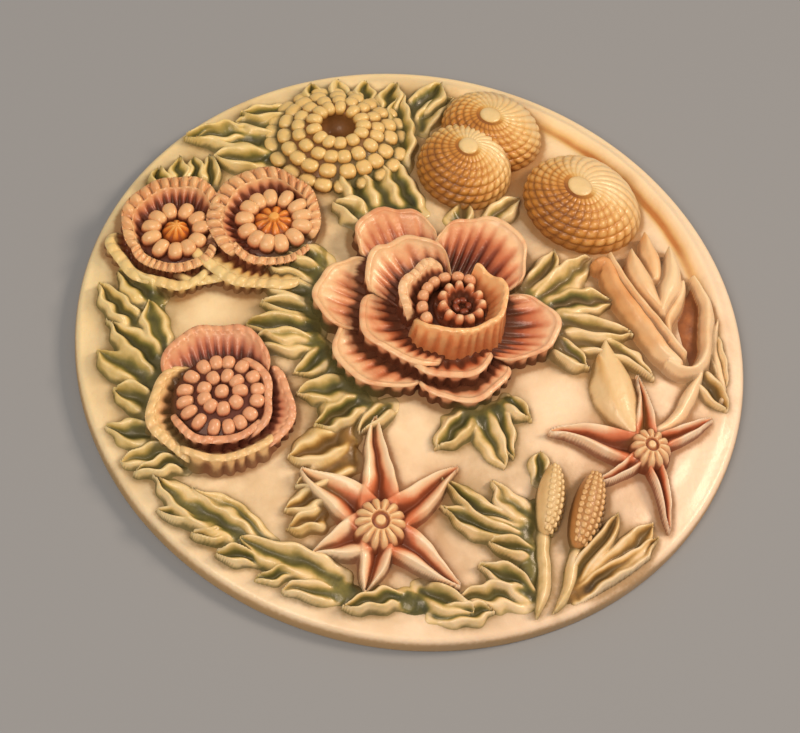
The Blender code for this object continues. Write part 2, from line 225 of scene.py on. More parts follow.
def shell_piece(name, shells, material):
    """A piece made of closed shells. Each shell is rings of points with a paint value at each point: quads
    join neighbouring rings, a fan closes each end, and a shell of negative volume is turned right way out."""
    points, paint, corners, sizes, first = [], [], [], [], 0
    for rings, tone in shells:
        count, sides = rings.shape[:2]
        flat = np.concatenate([rings.reshape(-1, 3), rings[:1].mean(1), rings[-1:].mean(1)])
        tone = np.broadcast_to(tone, (count, sides))
        points.append(flat)
        paint += [tone.reshape(-1), [tone[0].mean(), tone[-1].mean()]]
        i = np.arange(sides)
        j = (i + 1) % sides
        row = np.arange(count - 1)[:, None] * sides
        quads = np.stack([row + i, row + j, row + sides + j, row + sides + i], -1).reshape(-1, 4)
        last = (count - 1) * sides
        fans = np.concatenate([np.stack([j, i, np.full(sides, count * sides)], -1),
                               np.stack([last + i, last + j, np.full(sides, count * sides + 1)], -1)])
        a, b, c, d = (flat[quads[:, k]] for k in range(4))
        e, f, g = (flat[fans[:, k]] for k in range(3))
        volume = (np.cross(a, b) * c).sum() + (np.cross(a, c) * d).sum() + (np.cross(e, f) * g).sum()
        if volume < 0:
            quads, fans = quads[:, ::-1], fans[:, ::-1]
        corners += [(quads + first).reshape(-1), (fans + first).reshape(-1)]
        sizes += [np.full(len(quads), 4), np.full(len(fans), 3)]
        first += len(flat)
    return add_piece(name, np.concatenate(points), np.concatenate(paint), np.concatenate(corners),
                     np.concatenate(sizes), material)


def resin_with_wash_and_shade(name, stops, strength=0.85, stain=0.30, gloss=0.36, patchy=0.34):
    """Cast polyester resin, hand-tinted: the paint attribute picks a tint from the stops, clean lip to deep
    root, broken up by noise; the deep end is tint with painted shade in it. The hollow attribute says how far
    the wash, of the colour in the wash attribute, lies in, and with it painted shade in the hollows; its alpha
    says how far the colours of the forms near by have stained it. The wash is matt, and a thin gloss lies over
    the rest."""
    material = bpy.data.materials.new(name)
    material.use_nodes = True
    tree = material.node_tree
    shader = tree.nodes["Principled BSDF"]
    place = add_node(tree, "TexCoord", {}, "Object")
    patches, wander, pools = [
        add_node(tree, "TexNoise", {"Vector": place, "Scale": 1 / (size * MM), "Detail": detail}, "Fac")
        for size, detail in NOISES]
    paint = add_node(tree, "Attribute", {}, "Fac", attribute_name="paint")
    hollow = add_node(tree, "Attribute", {}, "Fac", attribute_name="hollow")
    wash = add_node(tree, "Attribute", {}, "Color", attribute_name="wash")
    # The tint, shifted by the noises
    both = add_node(tree, "Math", {0: patches, 1: wander}, operation="ADD")
    shift = add_node(tree, "Math", {0: both, 1: patchy, 2: -patchy}, operation="MULTIPLY_ADD")
    tone = add_node(tree, "Math", {0: shift, 1: paint}, operation="ADD", use_clamp=True)
    tint = add_node(tree, "ValToRGB", {"Fac": tone}, "Color")
    ramp = tint.node.color_ramp
    while len(ramp.elements) < len(stops):
        ramp.elements.new(0.5)
    for element, (position, code) in zip(ramp.elements, stops):
        element.position = position
        element.color = linear(code)
    # The colour across the plaque, partly the resin's own tint and partly painted light
    across = add_node(tree, "VectorMath", {0: place, 1: CAST_SLOPE}, "Value", operation="DOT_PRODUCT")
    side = add_node(tree, "Math", {0: across, 1: 0.5}, operation="ADD", use_clamp=True)
    cast = add_node(tree, "Mix", {"Factor": side, 6: linear(YELLOW_CAST), 7: linear(PINK_CAST)}, 2,
                    data_type="RGBA")
    toned = add_node(tree, "Mix", {"Factor": 0.75, 6: tint, 7: cast}, 2, data_type="RGBA",
                     blend_type="MULTIPLY")
    # The stain from the forms near by, in soft patches
    mottle = add_node(tree, "Math", {0: wander, 1: 0.4, 2: patches}, operation="MULTIPLY_ADD")
    spread = add_node(tree, "Math", {0: mottle, 1: 2.6, 2: -1.35}, operation="MULTIPLY_ADD", use_clamp=True)
    near = add_node(tree, "Math", {0: wash.node.outputs["Alpha"], 1: spread}, operation="MULTIPLY")
    share = add_node(tree, "Math", {0: near, 1: stain}, operation="MULTIPLY")
    stained = add_node(tree, "Mix", {"Factor": share, 6: toned, 7: wash}, 2, data_type="RGBA")
    # The wash in the hollows, with painted shade there, uneven as it dried in pools
    pooled = add_node(tree, "Math", {0: pools, 1: 0.7, 2: 0.65}, operation="MULTIPLY_ADD")
    uneven = add_node(tree, "Math", {0: pooled, 1: hollow}, operation="MULTIPLY")
    laid = add_node(tree, "MapRange", {"Value": uneven, "From Min": 0.06, "From Max": 0.80, "To Min": 0.0,
                                       "To Max": strength}, interpolation_type="SMOOTHSTEP")
    washed_and_shaded = add_node(tree, "Mix", {"Factor": laid, 6: stained, 7: wash}, 2, data_type="RGBA")
    matt = add_node(tree, "Math", {0: laid, 1: 0.30, 2: gloss}, operation="MULTIPLY_ADD")
    # The face is slightly uneven, as it came from the mould
    rough = add_node(tree, "Math", {0: wander, 1: 1.6, 2: pools}, operation="MULTIPLY_ADD")
    grain = add_node(tree, "Bump", {"Height": rough, "Strength": 0.3, "Distance": 0.2 * MM}, "Normal")
    for name, socket in (("Base Color", washed_and_shaded), ("Roughness", matt), ("Normal", grain)):
        tree.links.new(socket, shader.inputs[name])
    shader.inputs["IOR"].default_value = 1.52
    shader.inputs["Subsurface Weight"].default_value = 0.16
    shader.inputs["Subsurface Radius"].default_value = (1.0, 0.62, 0.36)
    shader.inputs["Subsurface Scale"].default_value = 1.1 * MM
    shader.inputs["Coat Weight"].default_value = 0.18
    shader.inputs["Coat Roughness"].default_value = 0.12
    return material


def disc_shell():
    """A turned shell: back, rounded back edge, straight side, rounded top edge, then the face in even rings.
    Paint is even, a little deeper at the border, and deep in a groove inside it at the upper right: wash with
    painted shade in the groove."""
    quarter = np.linspace(0, math.pi / 2, 7)
    radius = [0.9 * FACE, FACE - BACK_ROUND]
    height = [0.0, 0.0]
    radius += list(FACE - BACK_ROUND + BACK_ROUND * np.sin(quarter[1:]))
    height += list(BACK_ROUND - BACK_ROUND * np.cos(quarter[1:]))
    radius += [FACE, FACE]
    height += [0.5 * EDGE_HEIGHT, EDGE_HEIGHT - EDGE_ROUND]
    inner = FACE - EDGE_ROUND
    radius += list(inner + EDGE_ROUND * np.cos(quarter[1:]))
    height += list(EDGE_HEIGHT - EDGE_ROUND + (EDGE_ROUND + 0.2) * np.sin(quarter[1:]))
    dome = np.linspace(inner, 0.3, DISC_RINGS)[1:]
    radius = np.concatenate([radius, dome])[:, None]
    angle = np.linspace(0, 2 * math.pi, DISC_SECTORS, endpoint=False)[None]
    x, y = radius * np.cos(angle), radius * np.sin(angle)
    flat = np.concatenate([height, np.zeros(len(dome))])[:, None]
    z = np.where(np.arange(len(radius))[:, None] < len(height), flat, ground(x, y))
    # The wash in the groove at the upper right, with painted shade in it
    groove = to_upper_right(x, y) * np.exp(-((radius - 35.9) / 1.1) ** 2)
    paint = 0.10 + 0.05 * np.clip((radius - 34) / 4, 0, 1) + groove
    return np.stack([x * UNIT, y * UNIT, z * MM], -1), paint


cream_disc_resin = resin_with_wash_and_shade("cream_resin", DISC_TINTS, strength=0.8, stain=0.62, gloss=0.42, patchy=0.22)
disc = shell_piece("disc", [disc_shell()], cream_disc_resin)
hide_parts("plaque")

# The rose
# The open flower at the middle: six outer petals, three inside them, a ringed left side, a wrap petal that
# stands up round the front, and a small toothed cup in its heart. Salmon-tinted, brown at the roots, partly as
# painted shade.
ROSE_HEIGHT = 5.75
ROSE_TINTS = ((0.0, "#f8dabc"), (0.14, "#e8b090"), (0.34, "#c97c5a"), (0.62, "#8a432a"), (1.0, "#451a0d"))
ORANGE_TINTS = ((0.0, "#ffd4a4"), (0.2, "#f9aa76"), (0.55, "#e98c5a"), (1.0, "#94441f"))


def bunched(count):
    """Shares from 0 to 1, closer together at both ends."""
    even = np.linspace(0, 1, count)
    return 0.5 * even + 0.25 * (1 - np.cos(math.pi * even))


def petal(root, root_reach, centre, reach, height, span, foot=0.5, floor=0.3, lip=1.0, squash=1.0,
          lean=(0.0, 0.0), flute=1.0, depth=0.18, seed=0.0, blunt=(0.35, 0.35), wall=0.62, notch=0.1,
          wave=1.0, root_tint_and_shade=1.0):
    """A dished petal. Its outline is an arc of the reach about a centre; from each place on it a straight
    line runs in to an arc of the root reach about the root. Along that line the profile climbs from the root
    up a hollow floor, over a round lip, and down an undercut wall to a sunk foot. At both ends of the span it
    dies away to the blunt shares of its height. It wavers slowly, and is fluted by a cosine along the arc.
    Paint: root 1, lip 0, flutes in between; the deep paint at the root, in the flutes and down the undercut
    wall is tint with painted shade in it."""
    arc = math.radians(abs(span[1] - span[0])) * reach
    u = bunched(max(30, int(arc / 0.16)))[:, None]
    angle = np.radians(span[0] + (span[1] - span[0]) * u)
    swell = np.clip(1 - np.abs(2 * u - 1) ** 3.5, 0, 1) ** 0.5
    waver = wave * (0.026 * np.sin(3.1 * angle + 5 * seed) + 0.016 * np.sin(7.3 * angle + 11 * seed))
    out = reach * (0.88 + 0.12 * swell) * (1 + waver)
    ends = blunt[0] + (blunt[1] - blunt[0]) * u
    top = height * (ends + (1 - ends) * swell) * (1 + 2.0 * np.minimum(waver, 0))
    thick = lip * (0.6 + 0.4 * swell)
    count = max(2, round(arc / flute))
    valley = (0.5 - 0.5 * np.cos(2 * math.pi * (count * u + 0.34 * np.sin(9 * u + seed)))) ** 2.0
    cut = depth * valley * swell
    normal_x, normal_y = np.cos(angle), np.sin(angle) * squash
    edge_x, edge_y = centre[0] + out * normal_x, centre[1] + out * normal_y
    rule_x = edge_x - root[0] - root_reach * np.cos(angle)
    rule_y = edge_y - root[1] - root_reach * np.sin(angle) * squash
    rule = np.hypot(rule_x, rule_y)
    rule_x, rule_y = rule_x / rule, rule_y / rule
    rule = np.maximum(rule, thick + 0.2)
    s = np.linspace(0, 1, 14)[None]
    floor_in = thick + (rule - thick) * (1 - s)
    base = floor * height
    rise = top - 0.3 * thick - base
    floor_h = base + rise * s ** 1.4 - cut * np.sin(math.pi * s ** 0.5)
    # Floor paint: deeper at the root and in the flutes, tint with painted shade in it
    floor_p = root_tint_and_shade * (1.2 * (1 - s) ** 1.35 + 0.60 * valley * (1 - s) ** 0.8)
    q = np.linspace(math.pi, 0, 9)[None, 1:-1]
    lip_in = thick / 2 * (1 - np.cos(q))
    lip_h = top - 0.3 * thick * (1 - np.sin(q)) - notch * cut
    lip_p = 0.02 + 0.05 * valley + 0 * q
    t = np.linspace(0, 1, 10)[None]
    bulge = 0.2 * thick + 1.2 * cut
    wall_out = foot * t ** 1.2 - bulge * np.sin(math.pi * t) ** 0.6
    wall_h = (top - 0.3 * thick) * (1 - t) - SINK * t
    # Wall paint: deeper down to the foot under the lip, painted shade there
    wall_p = 0.10 + wall * t ** 2 + 0.30 * valley * np.sin(math.pi * t)
    inward = np.concatenate([floor_in, lip_in, 0 * wall_out, rule], 1)
    outward = np.concatenate([0 * floor_in, 0 * lip_in * valley, wall_out, 0 * rule], 1)
    h = np.concatenate([floor_h, lip_h, wall_h, 0 * rule - SINK], 1)
    paint = np.concatenate([floor_p, lip_p, wall_p, np.ones_like(rule)], 1)
    lift = np.clip(h / height, 0, 1)
    x = edge_x - rule_x * inward + normal_x * outward + lean[0] * lift
    y = edge_y - rule_y * inward + normal_y * outward + lean[1] * lift
    return on_face(x, y, h), np.clip(paint, 0, 1)


def smooth_path(points, count):
    """Catmull-Rom curve through the points, sampled evenly in its parameter."""
    points = np.array(points, float)
    padded = np.concatenate([2 * points[:1] - points[1:2], points, 2 * points[-1:] - points[-2:-1]])
    place = np.linspace(0, len(points) - 1, count)
    k = np.minimum(place.astype(int), len(points) - 2)
    t = (place - k)[:, None]
    a, b, c, d = padded[k], padded[k + 1], padded[k + 2], padded[k + 3]
    return 0.5 * (2 * b + (c - a) * t + (2 * a - 5 * b + 4 * c - d) * t ** 2
                  + (3 * b - a - 3 * c + d) * t ** 3)


def turned(centre, profile, ribs=0, rib_depth=0.0, squash=1.0, lean=(0.0, 0.0), rings=40):
    """A turned mound: radius, height, ribbing and paint follow a smooth curve through the profile from foot
    to middle, ribs are a cosine round it, and its middle leans aside as it rises. Paint deepens in the rib
    valleys, as painted shade."""
    curve = smooth_path(profile, rings)
    sides = max(48, ribs * 8)
    angle = np.linspace(0, 2 * math.pi, sides, endpoint=False)[None]
    r, h, weight, paint = (curve[:, k:k + 1] for k in range(4))
    valley = (0.5 - 0.5 * np.cos(ribs * angle)) ** 2.2
    peak = max(p[1] for p in profile)
    height = h - rib_depth * weight * valley
    radius = np.maximum(r, 0.02) - rib_depth * weight * valley * 0.5
    lift = np.clip(h / peak, 0, 1)
    x = centre[0] + radius * np.cos(angle) + lean[0] * lift
    y = centre[1] + radius * np.sin(angle) * squash + lean[1] * lift
    # Paint is deeper in the rib valleys: painted shade
    return on_face(x, y, height), np.clip(paint + 0.35 * weight * valley, 0, 1)


def bead(x, y, height, along, length, width, thick, tone=0.0, square=0.80):
    """A blunt seed: an ellipsoid whose cosines and sines are raised to a power under 1, its long axis along a
    direction on the face. Paint runs from its tone on top to deep tint at its waist, painted shade under the
    seed."""
    latitude = np.linspace(-1.3, 1.42, 8)[:, None]
    around = np.linspace(0, 2 * math.pi, 14, endpoint=False)[None]
    c, s = np.cos(around), np.sin(around)
    level = np.cos(latitude) ** square
    a = 0.5 * length * level * np.sign(c) * np.abs(c) ** square
    b = 0.5 * width * level * np.sign(s) * np.abs(s) ** square
    cx, cy = math.cos(along), math.sin(along)
    rise = height + thick * np.sign(latitude) * np.abs(np.sin(latitude)) ** 0.85
    # Painted shade: deeper paint on the lower half, down to the waist
    paint = tone + 0.8 * np.clip(0.55 - np.sin(latitude), 0, 1) + 0 * around
    return on_face(x + a * cx - b * cy, y + a * cy + b * cx, rise), np.clip(paint, 0, 1)


def bead_ring(centre, radius, count, height, length, thick, squash=1.0, turn=0.0, tone=0.0, fill=1.08,
              span=(0.0, 360.0)):
    """Blunt seeds set evenly round a ring or part of one, side by side, each a little different."""
    shells = []
    sweep = math.radians(span[1] - span[0])
    width = fill * sweep * radius / count
    for k in range(count):
        angle = math.radians(span[0]) + turn + sweep * (k + 0.12 * math.sin(7.7 * k + radius)) / count
        vary = 0.07 * math.sin(12.9898 * k + 4.1 * radius)
        x = centre[0] + radius * math.cos(angle)
        y = centre[1] + radius * math.sin(angle) * squash
        shells.append(bead(x, y, height, angle, length * (1 + vary), width * (1 - vary), thick * (1 + vary),
                           tone))
    return shells


def rose_shells():
    """Petals in rows, outer to inner: centre, reach, share of the height, span, squash, root, root reach and
    how deep the root tint and its painted shade go, which is less on the left."""
    h = ROSE_HEIGHT
    shells = [turned((2.2, -0.6), ((8.6, -SINK, 0, 1), (7.6, 0.02 * h, 0, 1), (5.0, 0.14 * h, 0, 1),
                                   (2.0, 0.42 * h, 0, 1), (0.1, 0.43 * h, 0, 1)))]
    outer = (
        ((-3.0, 9.3), 4.9, 0.53, (-22, 205), 1.0, (-0.2, 3.0), 2.4, 0.9),
        ((7.2, 7.6), 5.9, 0.57, (-38, 176), 1.0, (4.0, 2.0), 3.0, 1.1),
        ((-7.2, 1.3), 5.3, 0.50, (74, 268), 1.0, (-1.0, 0.4), 3.2, 0.6),
        ((-3.6, -4.6), 6.7, 0.46, (150, 306), 1.0, (0.6, -2.0), 4.2, 0.8),
        ((10.4, -1.4), 6.0, 0.48, (-96, 92), 0.82, (5.4, -0.8), 4.2, 0.85),
        ((4.4, -4.6), 7.4, 0.37, (-142, -18), 1.0, (3.6, -3.0), 5.0, 0.8),
    )
    for k, (centre, reach, share, span, squash, root, root_reach, root_tint_and_shade) in enumerate(outer):
        shells.append(petal(root, root_reach, centre, reach, share * h, span, squash=squash, floor=0.22,
                            lip=0.75, flute=1.9, depth=0.42, seed=k, wave=1.5, root_tint_and_shade=root_tint_and_shade))
    second = (
        ((3.0, -2.2), 7.4, 0.55, (-141, -29), 1.0, (3.0, -1.0), 5.2, 1.0),
        ((-1.4, 3.6), 5.3, 0.77, (2, 204), 1.0, (1.6, 0.8), 3.2, 0.75),
        ((0.6, -1.4), 7.9, 0.62, (150, 284), 0.9, (2.6, -0.4), 4.6, 0.8),
    )
    for k, (centre, reach, share, span, squash, root, root_reach, root_tint_and_shade) in enumerate(second):
        shells.append(petal(root, root_reach, centre, reach, share * h, span, squash=squash, floor=0.34,
                            lip=0.8, flute=1.7, depth=0.40, seed=k + 10, wave=1.5, root_tint_and_shade=root_tint_and_shade))
    shells.append(petal((3.6, -0.2), 3.9, (3.4, 0.2), 6.1, 0.93 * h, (98, 208), foot=0.6, floor=0.55, lip=1.1,
                        flute=1.3, depth=0.42, seed=3.3, notch=1.0, wave=1.5, root_tint_and_shade=0.9))
    shells += bead_ring((4.0, -0.8), 4.1, 8, 0.62 * h, 1.4, 1.3, tone=0.15, span=(70, 226))
    cup = ((3.3, 0.45 * h, 0, 0.9), (3.0, 0.62 * h, 1, 0.6), (2.7, 0.82 * h, 1, 0.1), (2.1, 0.84 * h, 1, 0.1),
           (1.5, 0.62 * h, 1, 0.8), (0.6, 0.50 * h, 0, 1.0), (0.05, 0.52 * h, 0, 1.0))
    shells.append(turned((4.6, -0.3), ((3.6, -SINK, 0, 1),) + cup, ribs=11, rib_depth=0.8, rings=44))
    shells += bead_ring((4.7, -0.2), 0.8, 5, 0.56 * h, 0.9, 0.5, tone=0.6)
    return shells


shell_piece("rose", rose_shells(), resin_with_wash_and_shade("rose_tinted_resin", ROSE_TINTS, strength=1.0))
wrap = petal((3.6, 0.0), 3.6, (3.6, 0.0), 5.9, ROSE_HEIGHT, (-153, 62), foot=1.0, floor=0.45, lip=0.6,
             lean=(0.3, 0.6), flute=1.25, depth=0.18, seed=1.7, blunt=(0.30, 0.80), wall=0.30, notch=0.6,
             wave=1.7, root_tint_and_shade=0.4)
shell_piece("rose_wrap_petal", [wrap], resin_with_wash_and_shade("orange_tinted_resin", ORANGE_TINTS, strength=0.4))

# The buttercup
# The many-petalled flower at the left: a disc of blunt seeds in rings round one middle seed, and six fluted
# petals wrapped round it. Pink tint with a red-brown wash between the rows, partly painted shade.
BUTTERCUP_HEIGHT = 3.7
PINK_TINTS = ((0.0, "#edbca2"), (0.22, "#d7937c"), (0.55, "#a55444"), (1.0, "#551b12"))
PALE_PINK_TINTS = ((0.0, "#f2dab0"), (0.3, "#e8bf96"), (0.65, "#c58760"), (1.0, "#743822"))
pink_resin = resin_with_wash_and_shade("pink_tinted_resin", PINK_TINTS, strength=0.95)
pale_pink_resin = resin_with_wash_and_shade("pale_pink_tinted_resin", PALE_PINK_TINTS)
BUTTERCUP = (-22.7, -12.4)


def buttercup_disc():
    """A low mound under one seed, a ring of nine and a ring of sixteen."""
    h = BUTTERCUP_HEIGHT
    shells = [turned(BUTTERCUP, ((6.0, -SINK, 0, 1), (5.6, 0.28 * h, 0, 1), (4.5, 0.52 * h, 0, 1),
                                 (2.6, 0.66 * h, 0, 1), (0.1, 0.70 * h, 0, 1)))]
    shells.append(bead(*BUTTERCUP, 0.72 * h, 0, 1.7, 1.7, 1.05, square=0.85))
    shells += bead_ring(BUTTERCUP, 2.05, 9, 0.68 * h, 1.85, 1.05)
    shells += bead_ring(BUTTERCUP, 4.10, 16, 0.50 * h, 2.05, 1.15, turn=0.2, fill=1.00)
    return shells


def buttercup_petals():
    """Pink inner petals, as centre, reach, share of the height and span."""
    h = BUTTERCUP_HEIGHT
    rows = (((-23.5, -9.8), 6.6, 0.88, (6, 172)), ((-22.9, -13.0), 6.3, 0.80, (-56, 70)),
            ((-22.4, -13.0), 8.1, 0.55, (-48, 46)), ((-22.8, -12.6), 6.2, 0.80, (198, 336)))
    return [petal(BUTTERCUP, 4.4, c, reach, share * h, span, floor=0.22, lip=0.95, flute=1.35, depth=0.42,
                  seed=k + 20, notch=0.5, wave=1.4) for k, (c, reach, share, span) in enumerate(rows)]


def buttercup_skirt():
    """The two paler petals outside them, at the left and below."""
    h = BUTTERCUP_HEIGHT
    return [petal(BUTTERCUP, 5.2, (-22.4, -13.5), 8.4, 0.66 * h, (128, 244), foot=0.7, floor=0.25, lip=1.2,
                  flute=1.5, depth=0.40, seed=31, wall=0.25, notch=0.6, wave=1.8),
            petal(BUTTERCUP, 5.6, (-22.6, -12.9), 7.9, 0.70 * h, (-132, -34), foot=1.5, floor=0.2, lip=0.9,
                  flute=1.8, depth=0.36, seed=32, notch=0.6, wall=0.2)]


shell_piece("buttercup", buttercup_disc() + buttercup_petals(), pink_resin)
shell_piece("buttercup_outer_petals", buttercup_skirt(), pale_pink_resin)

# The twin cup flowers
# Two coiled flowers at the upper left: one has a yellow knob in eleven teeth, the other an orange heart in
# thirteen; each sits in a thick notched petal that coils over it, with smaller cream petals under that.
CUP_HEIGHT = 3.0
CUP_TINTS = ((0.0, "#f2cdac"), (0.22, "#dc9e80"), (0.55, "#ae5c44"), (1.0, "#5c2013"))
HEART_TINTS = ((0.0, "#f6bf74"), (0.4, "#e6923f"), (0.75, "#bb5d22"), (1.0, "#7a3514"))
CREAM_TINTS = ((0.0, "#f3e2b8"), (0.35, "#e8ca92"), (0.7, "#c38f56"), (1.0, "#7c4a26"))
LEFT_CUP, RIGHT_CUP = (-28.9, 10.8), (-17.4, 12.2)
cup_resin = resin_with_wash_and_shade("cup_flower_resin", CUP_TINTS)
heart_resin = resin_with_wash_and_shade("orange_heart_resin", HEART_TINTS, strength=0.6)
cream_resin = resin_with_wash_and_shade("cream_petal_resin", CREAM_TINTS)


def cup_flowers():
    """A mound, a ring of teeth and coiled petals for each flower."""
    h = CUP_HEIGHT
    shells = []
    for centre, radius in ((LEFT_CUP, 4.6), (RIGHT_CUP, 5.2)):
        shells.append(turned(centre, ((radius + 1, -SINK, 0, 1), (radius, 0.1 * h, 0, 1),
                                      (3.4, 0.34 * h, 0, 1), (0.1, 0.40 * h, 0, 1))))
    shells += bead_ring(LEFT_CUP, 2.95, 11, 0.46 * h, 2.4, 1.15, turn=0.1, fill=1.14)
    shells += bead_ring(RIGHT_CUP, 3.45, 13, 0.46 * h, 2.6, 1.20, turn=0.2, fill=1.14)
    # Each coil: root, root reach, centre, reach, height, span; then squash, floor, lip, flute, depth
    coils = (
        ((LEFT_CUP, 3.7, (-29.3, 11.9), 6.2, 0.98 * h, (-28, 214)), (1.12, 0.3, 1.6, 1.45, 0.62)),
        ((LEFT_CUP, 3.8, (-28.9, 10.2), 5.6, 0.74 * h, (178, 352)), (1.0, 0.2, 1.3, 1.0, 0.42)),
        ((RIGHT_CUP, 4.2, (-18.5, 12.6), 6.9, h, (-22, 236)), (1.04, 0.3, 1.8, 1.5, 0.66)),
        ((RIGHT_CUP, 4.4, (-17.6, 11.6), 6.0, 0.66 * h, (196, 330)), (1.0, 0.2, 1.1, 1.05, 0.40)),
    )
    for k, (form, (squash, floor, lip, flute, depth)) in enumerate(coils):
        shells.append(petal(*form, squash=squash, floor=floor, lip=lip, flute=flute, depth=depth, seed=k + 40,
                            notch=1.25))
    return shells


def cup_hearts():
    """A knob on each: a plain one at the left, a wide lobed one at the right."""
    h = CUP_HEIGHT
    knob = ((1.9, 0.1 * h, 0, 0.9), (1.6, 0.55 * h, 0.5, 0.6), (1.0, 0.84 * h, 1, 0.2),
            (0.5, 0.98 * h, 0.4, 0), (0.05, h, 0, 0))
    wide = ((2.7, 0.1 * h, 0, 0.9), (2.3, 0.52 * h, 0.6, 0.6), (1.5, 0.70 * h, 1, 0.3),
            (0.8, 0.72 * h, 0.5, 0.3), (0.5, 0.90 * h, 0, 0), (0.05, 0.94 * h, 0, 0))
    return [turned(LEFT_CUP, knob, ribs=8, rib_depth=0.25), turned(RIGHT_CUP, wide, ribs=9, rib_depth=0.4)]


def cup_skirts():
    """The cream petals low on the outer sides of the flowers, and the small one between them."""
    h = CUP_HEIGHT
    rows = (
        (LEFT_CUP, 5.8, (-29.3, 10.4), 7.8, 0.62, (172, 318)),
        (RIGHT_CUP, 6.2, (-18.5, 10.8), 8.8, 0.66, (184, 302)),
        ((-26.6, 9.0), 3.0, (-25.6, 7.4), 4.4, 0.50, (216, 336)),
    )
    return [petal(root, root_reach, centre, reach, share * h, span, foot=0.8, floor=0.2, lip=1.4, flute=1.7,
                  depth=0.42, seed=k + 50, notch=0.5, wall=0.3, wave=1.8)
            for k, (root, root_reach, centre, reach, share, span) in enumerate(rows)]


shell_piece("cup_flowers", cup_flowers(), cup_resin)
shell_piece("cup_flower_hearts", cup_hearts(), heart_resin)
shell_piece("cup_flower_petals", cup_skirts(), cream_resin)

# The seed head
# The tall head at the top left: a mound with a deep hole, ringed by four rows of blunt seeds. Cream, with an
# ochre wash between the seeds and brown in the hole, both partly painted shade.
SEED_HEAD_HEIGHT = 3.9
SEED_TINTS = ((0.0, "#efd9a8"), (0.25, "#dfbd80"), (0.6, "#bb8a4c"), (1.0, "#7c4c22"))


def seed_head_shells():
    """Seeds on a turned mound whose middle is a pit."""
    h, centre = SEED_HEAD_HEIGHT, (-9.9, 26.6)
    mound = ((8.6, -SINK, 0, 1), (8.2, 0.05 * h, 0, 1), (6.6, 0.40 * h, 0, 0.9), (4.6, 0.68 * h, 0, 0.9),
             (3.0, 0.82 * h, 0, 0.8), (2.3, 0.78 * h, 0, 0.8), (1.9, 0.45 * h, 0, 1), (1.0, 0.22 * h, 0, 1),
             (0.05, 0.20 * h, 0, 1))
    shells = [turned(centre, mound, rings=50)]
    # Each row: radius, number of seeds, share of the height, length, thickness, turn
    rows = ((3.05, 13, 0.80, 2.00, 0.85, 0.0), (4.75, 17, 0.60, 2.00, 0.90, 0.1),
            (6.35, 19, 0.38, 2.20, 0.85, 0.25), (7.85, 21, 0.10, 2.30, 0.80, 0.05))
    for radius, count, share, length, thick, turn in rows:
        shells += bead_ring(centre, radius, count, share * h, length, thick, turn=turn)
    return shells


seed_resin = resin_with_wash_and_shade("seed_head_resin", SEED_TINTS, strength=0.95)
shell_piece("seed_head", seed_head_shells(), seed_resin)

# The scaled cones
# Three steep mounds at the upper right, each with a smooth button and pillow-like scales in rows and in
# twisting files down its sides. Painted shade: ochre on the side away from the light, cream on the other,
# and deeper between the scales.
CONE_HEIGHT = 5.0
CONE_TINTS = ((0.0, "#f8e6c0"), (0.28, "#eccb8e"), (0.56, "#cf9649"), (1.0, "#865122"))
# Each cone: name, centre, radius, squash, lean of its top, twist of its files
CONES = (
    ("cone_front", (5.8, 22.6), 5.8, 1.08, (0.0, 0.6), 1.0),
    ("cone_back", (9.6, 29.6), 6.3, 1.06, (-0.9, -0.8), -1.0),
    ("cone_right", (20.6, 19.0), 7.4, 1.0, (-1.2, -0.4), 1.0),
)
SCALE_ROWS = 8
SCALE_FILES = 28
SCALE_DEPTH = 0.32


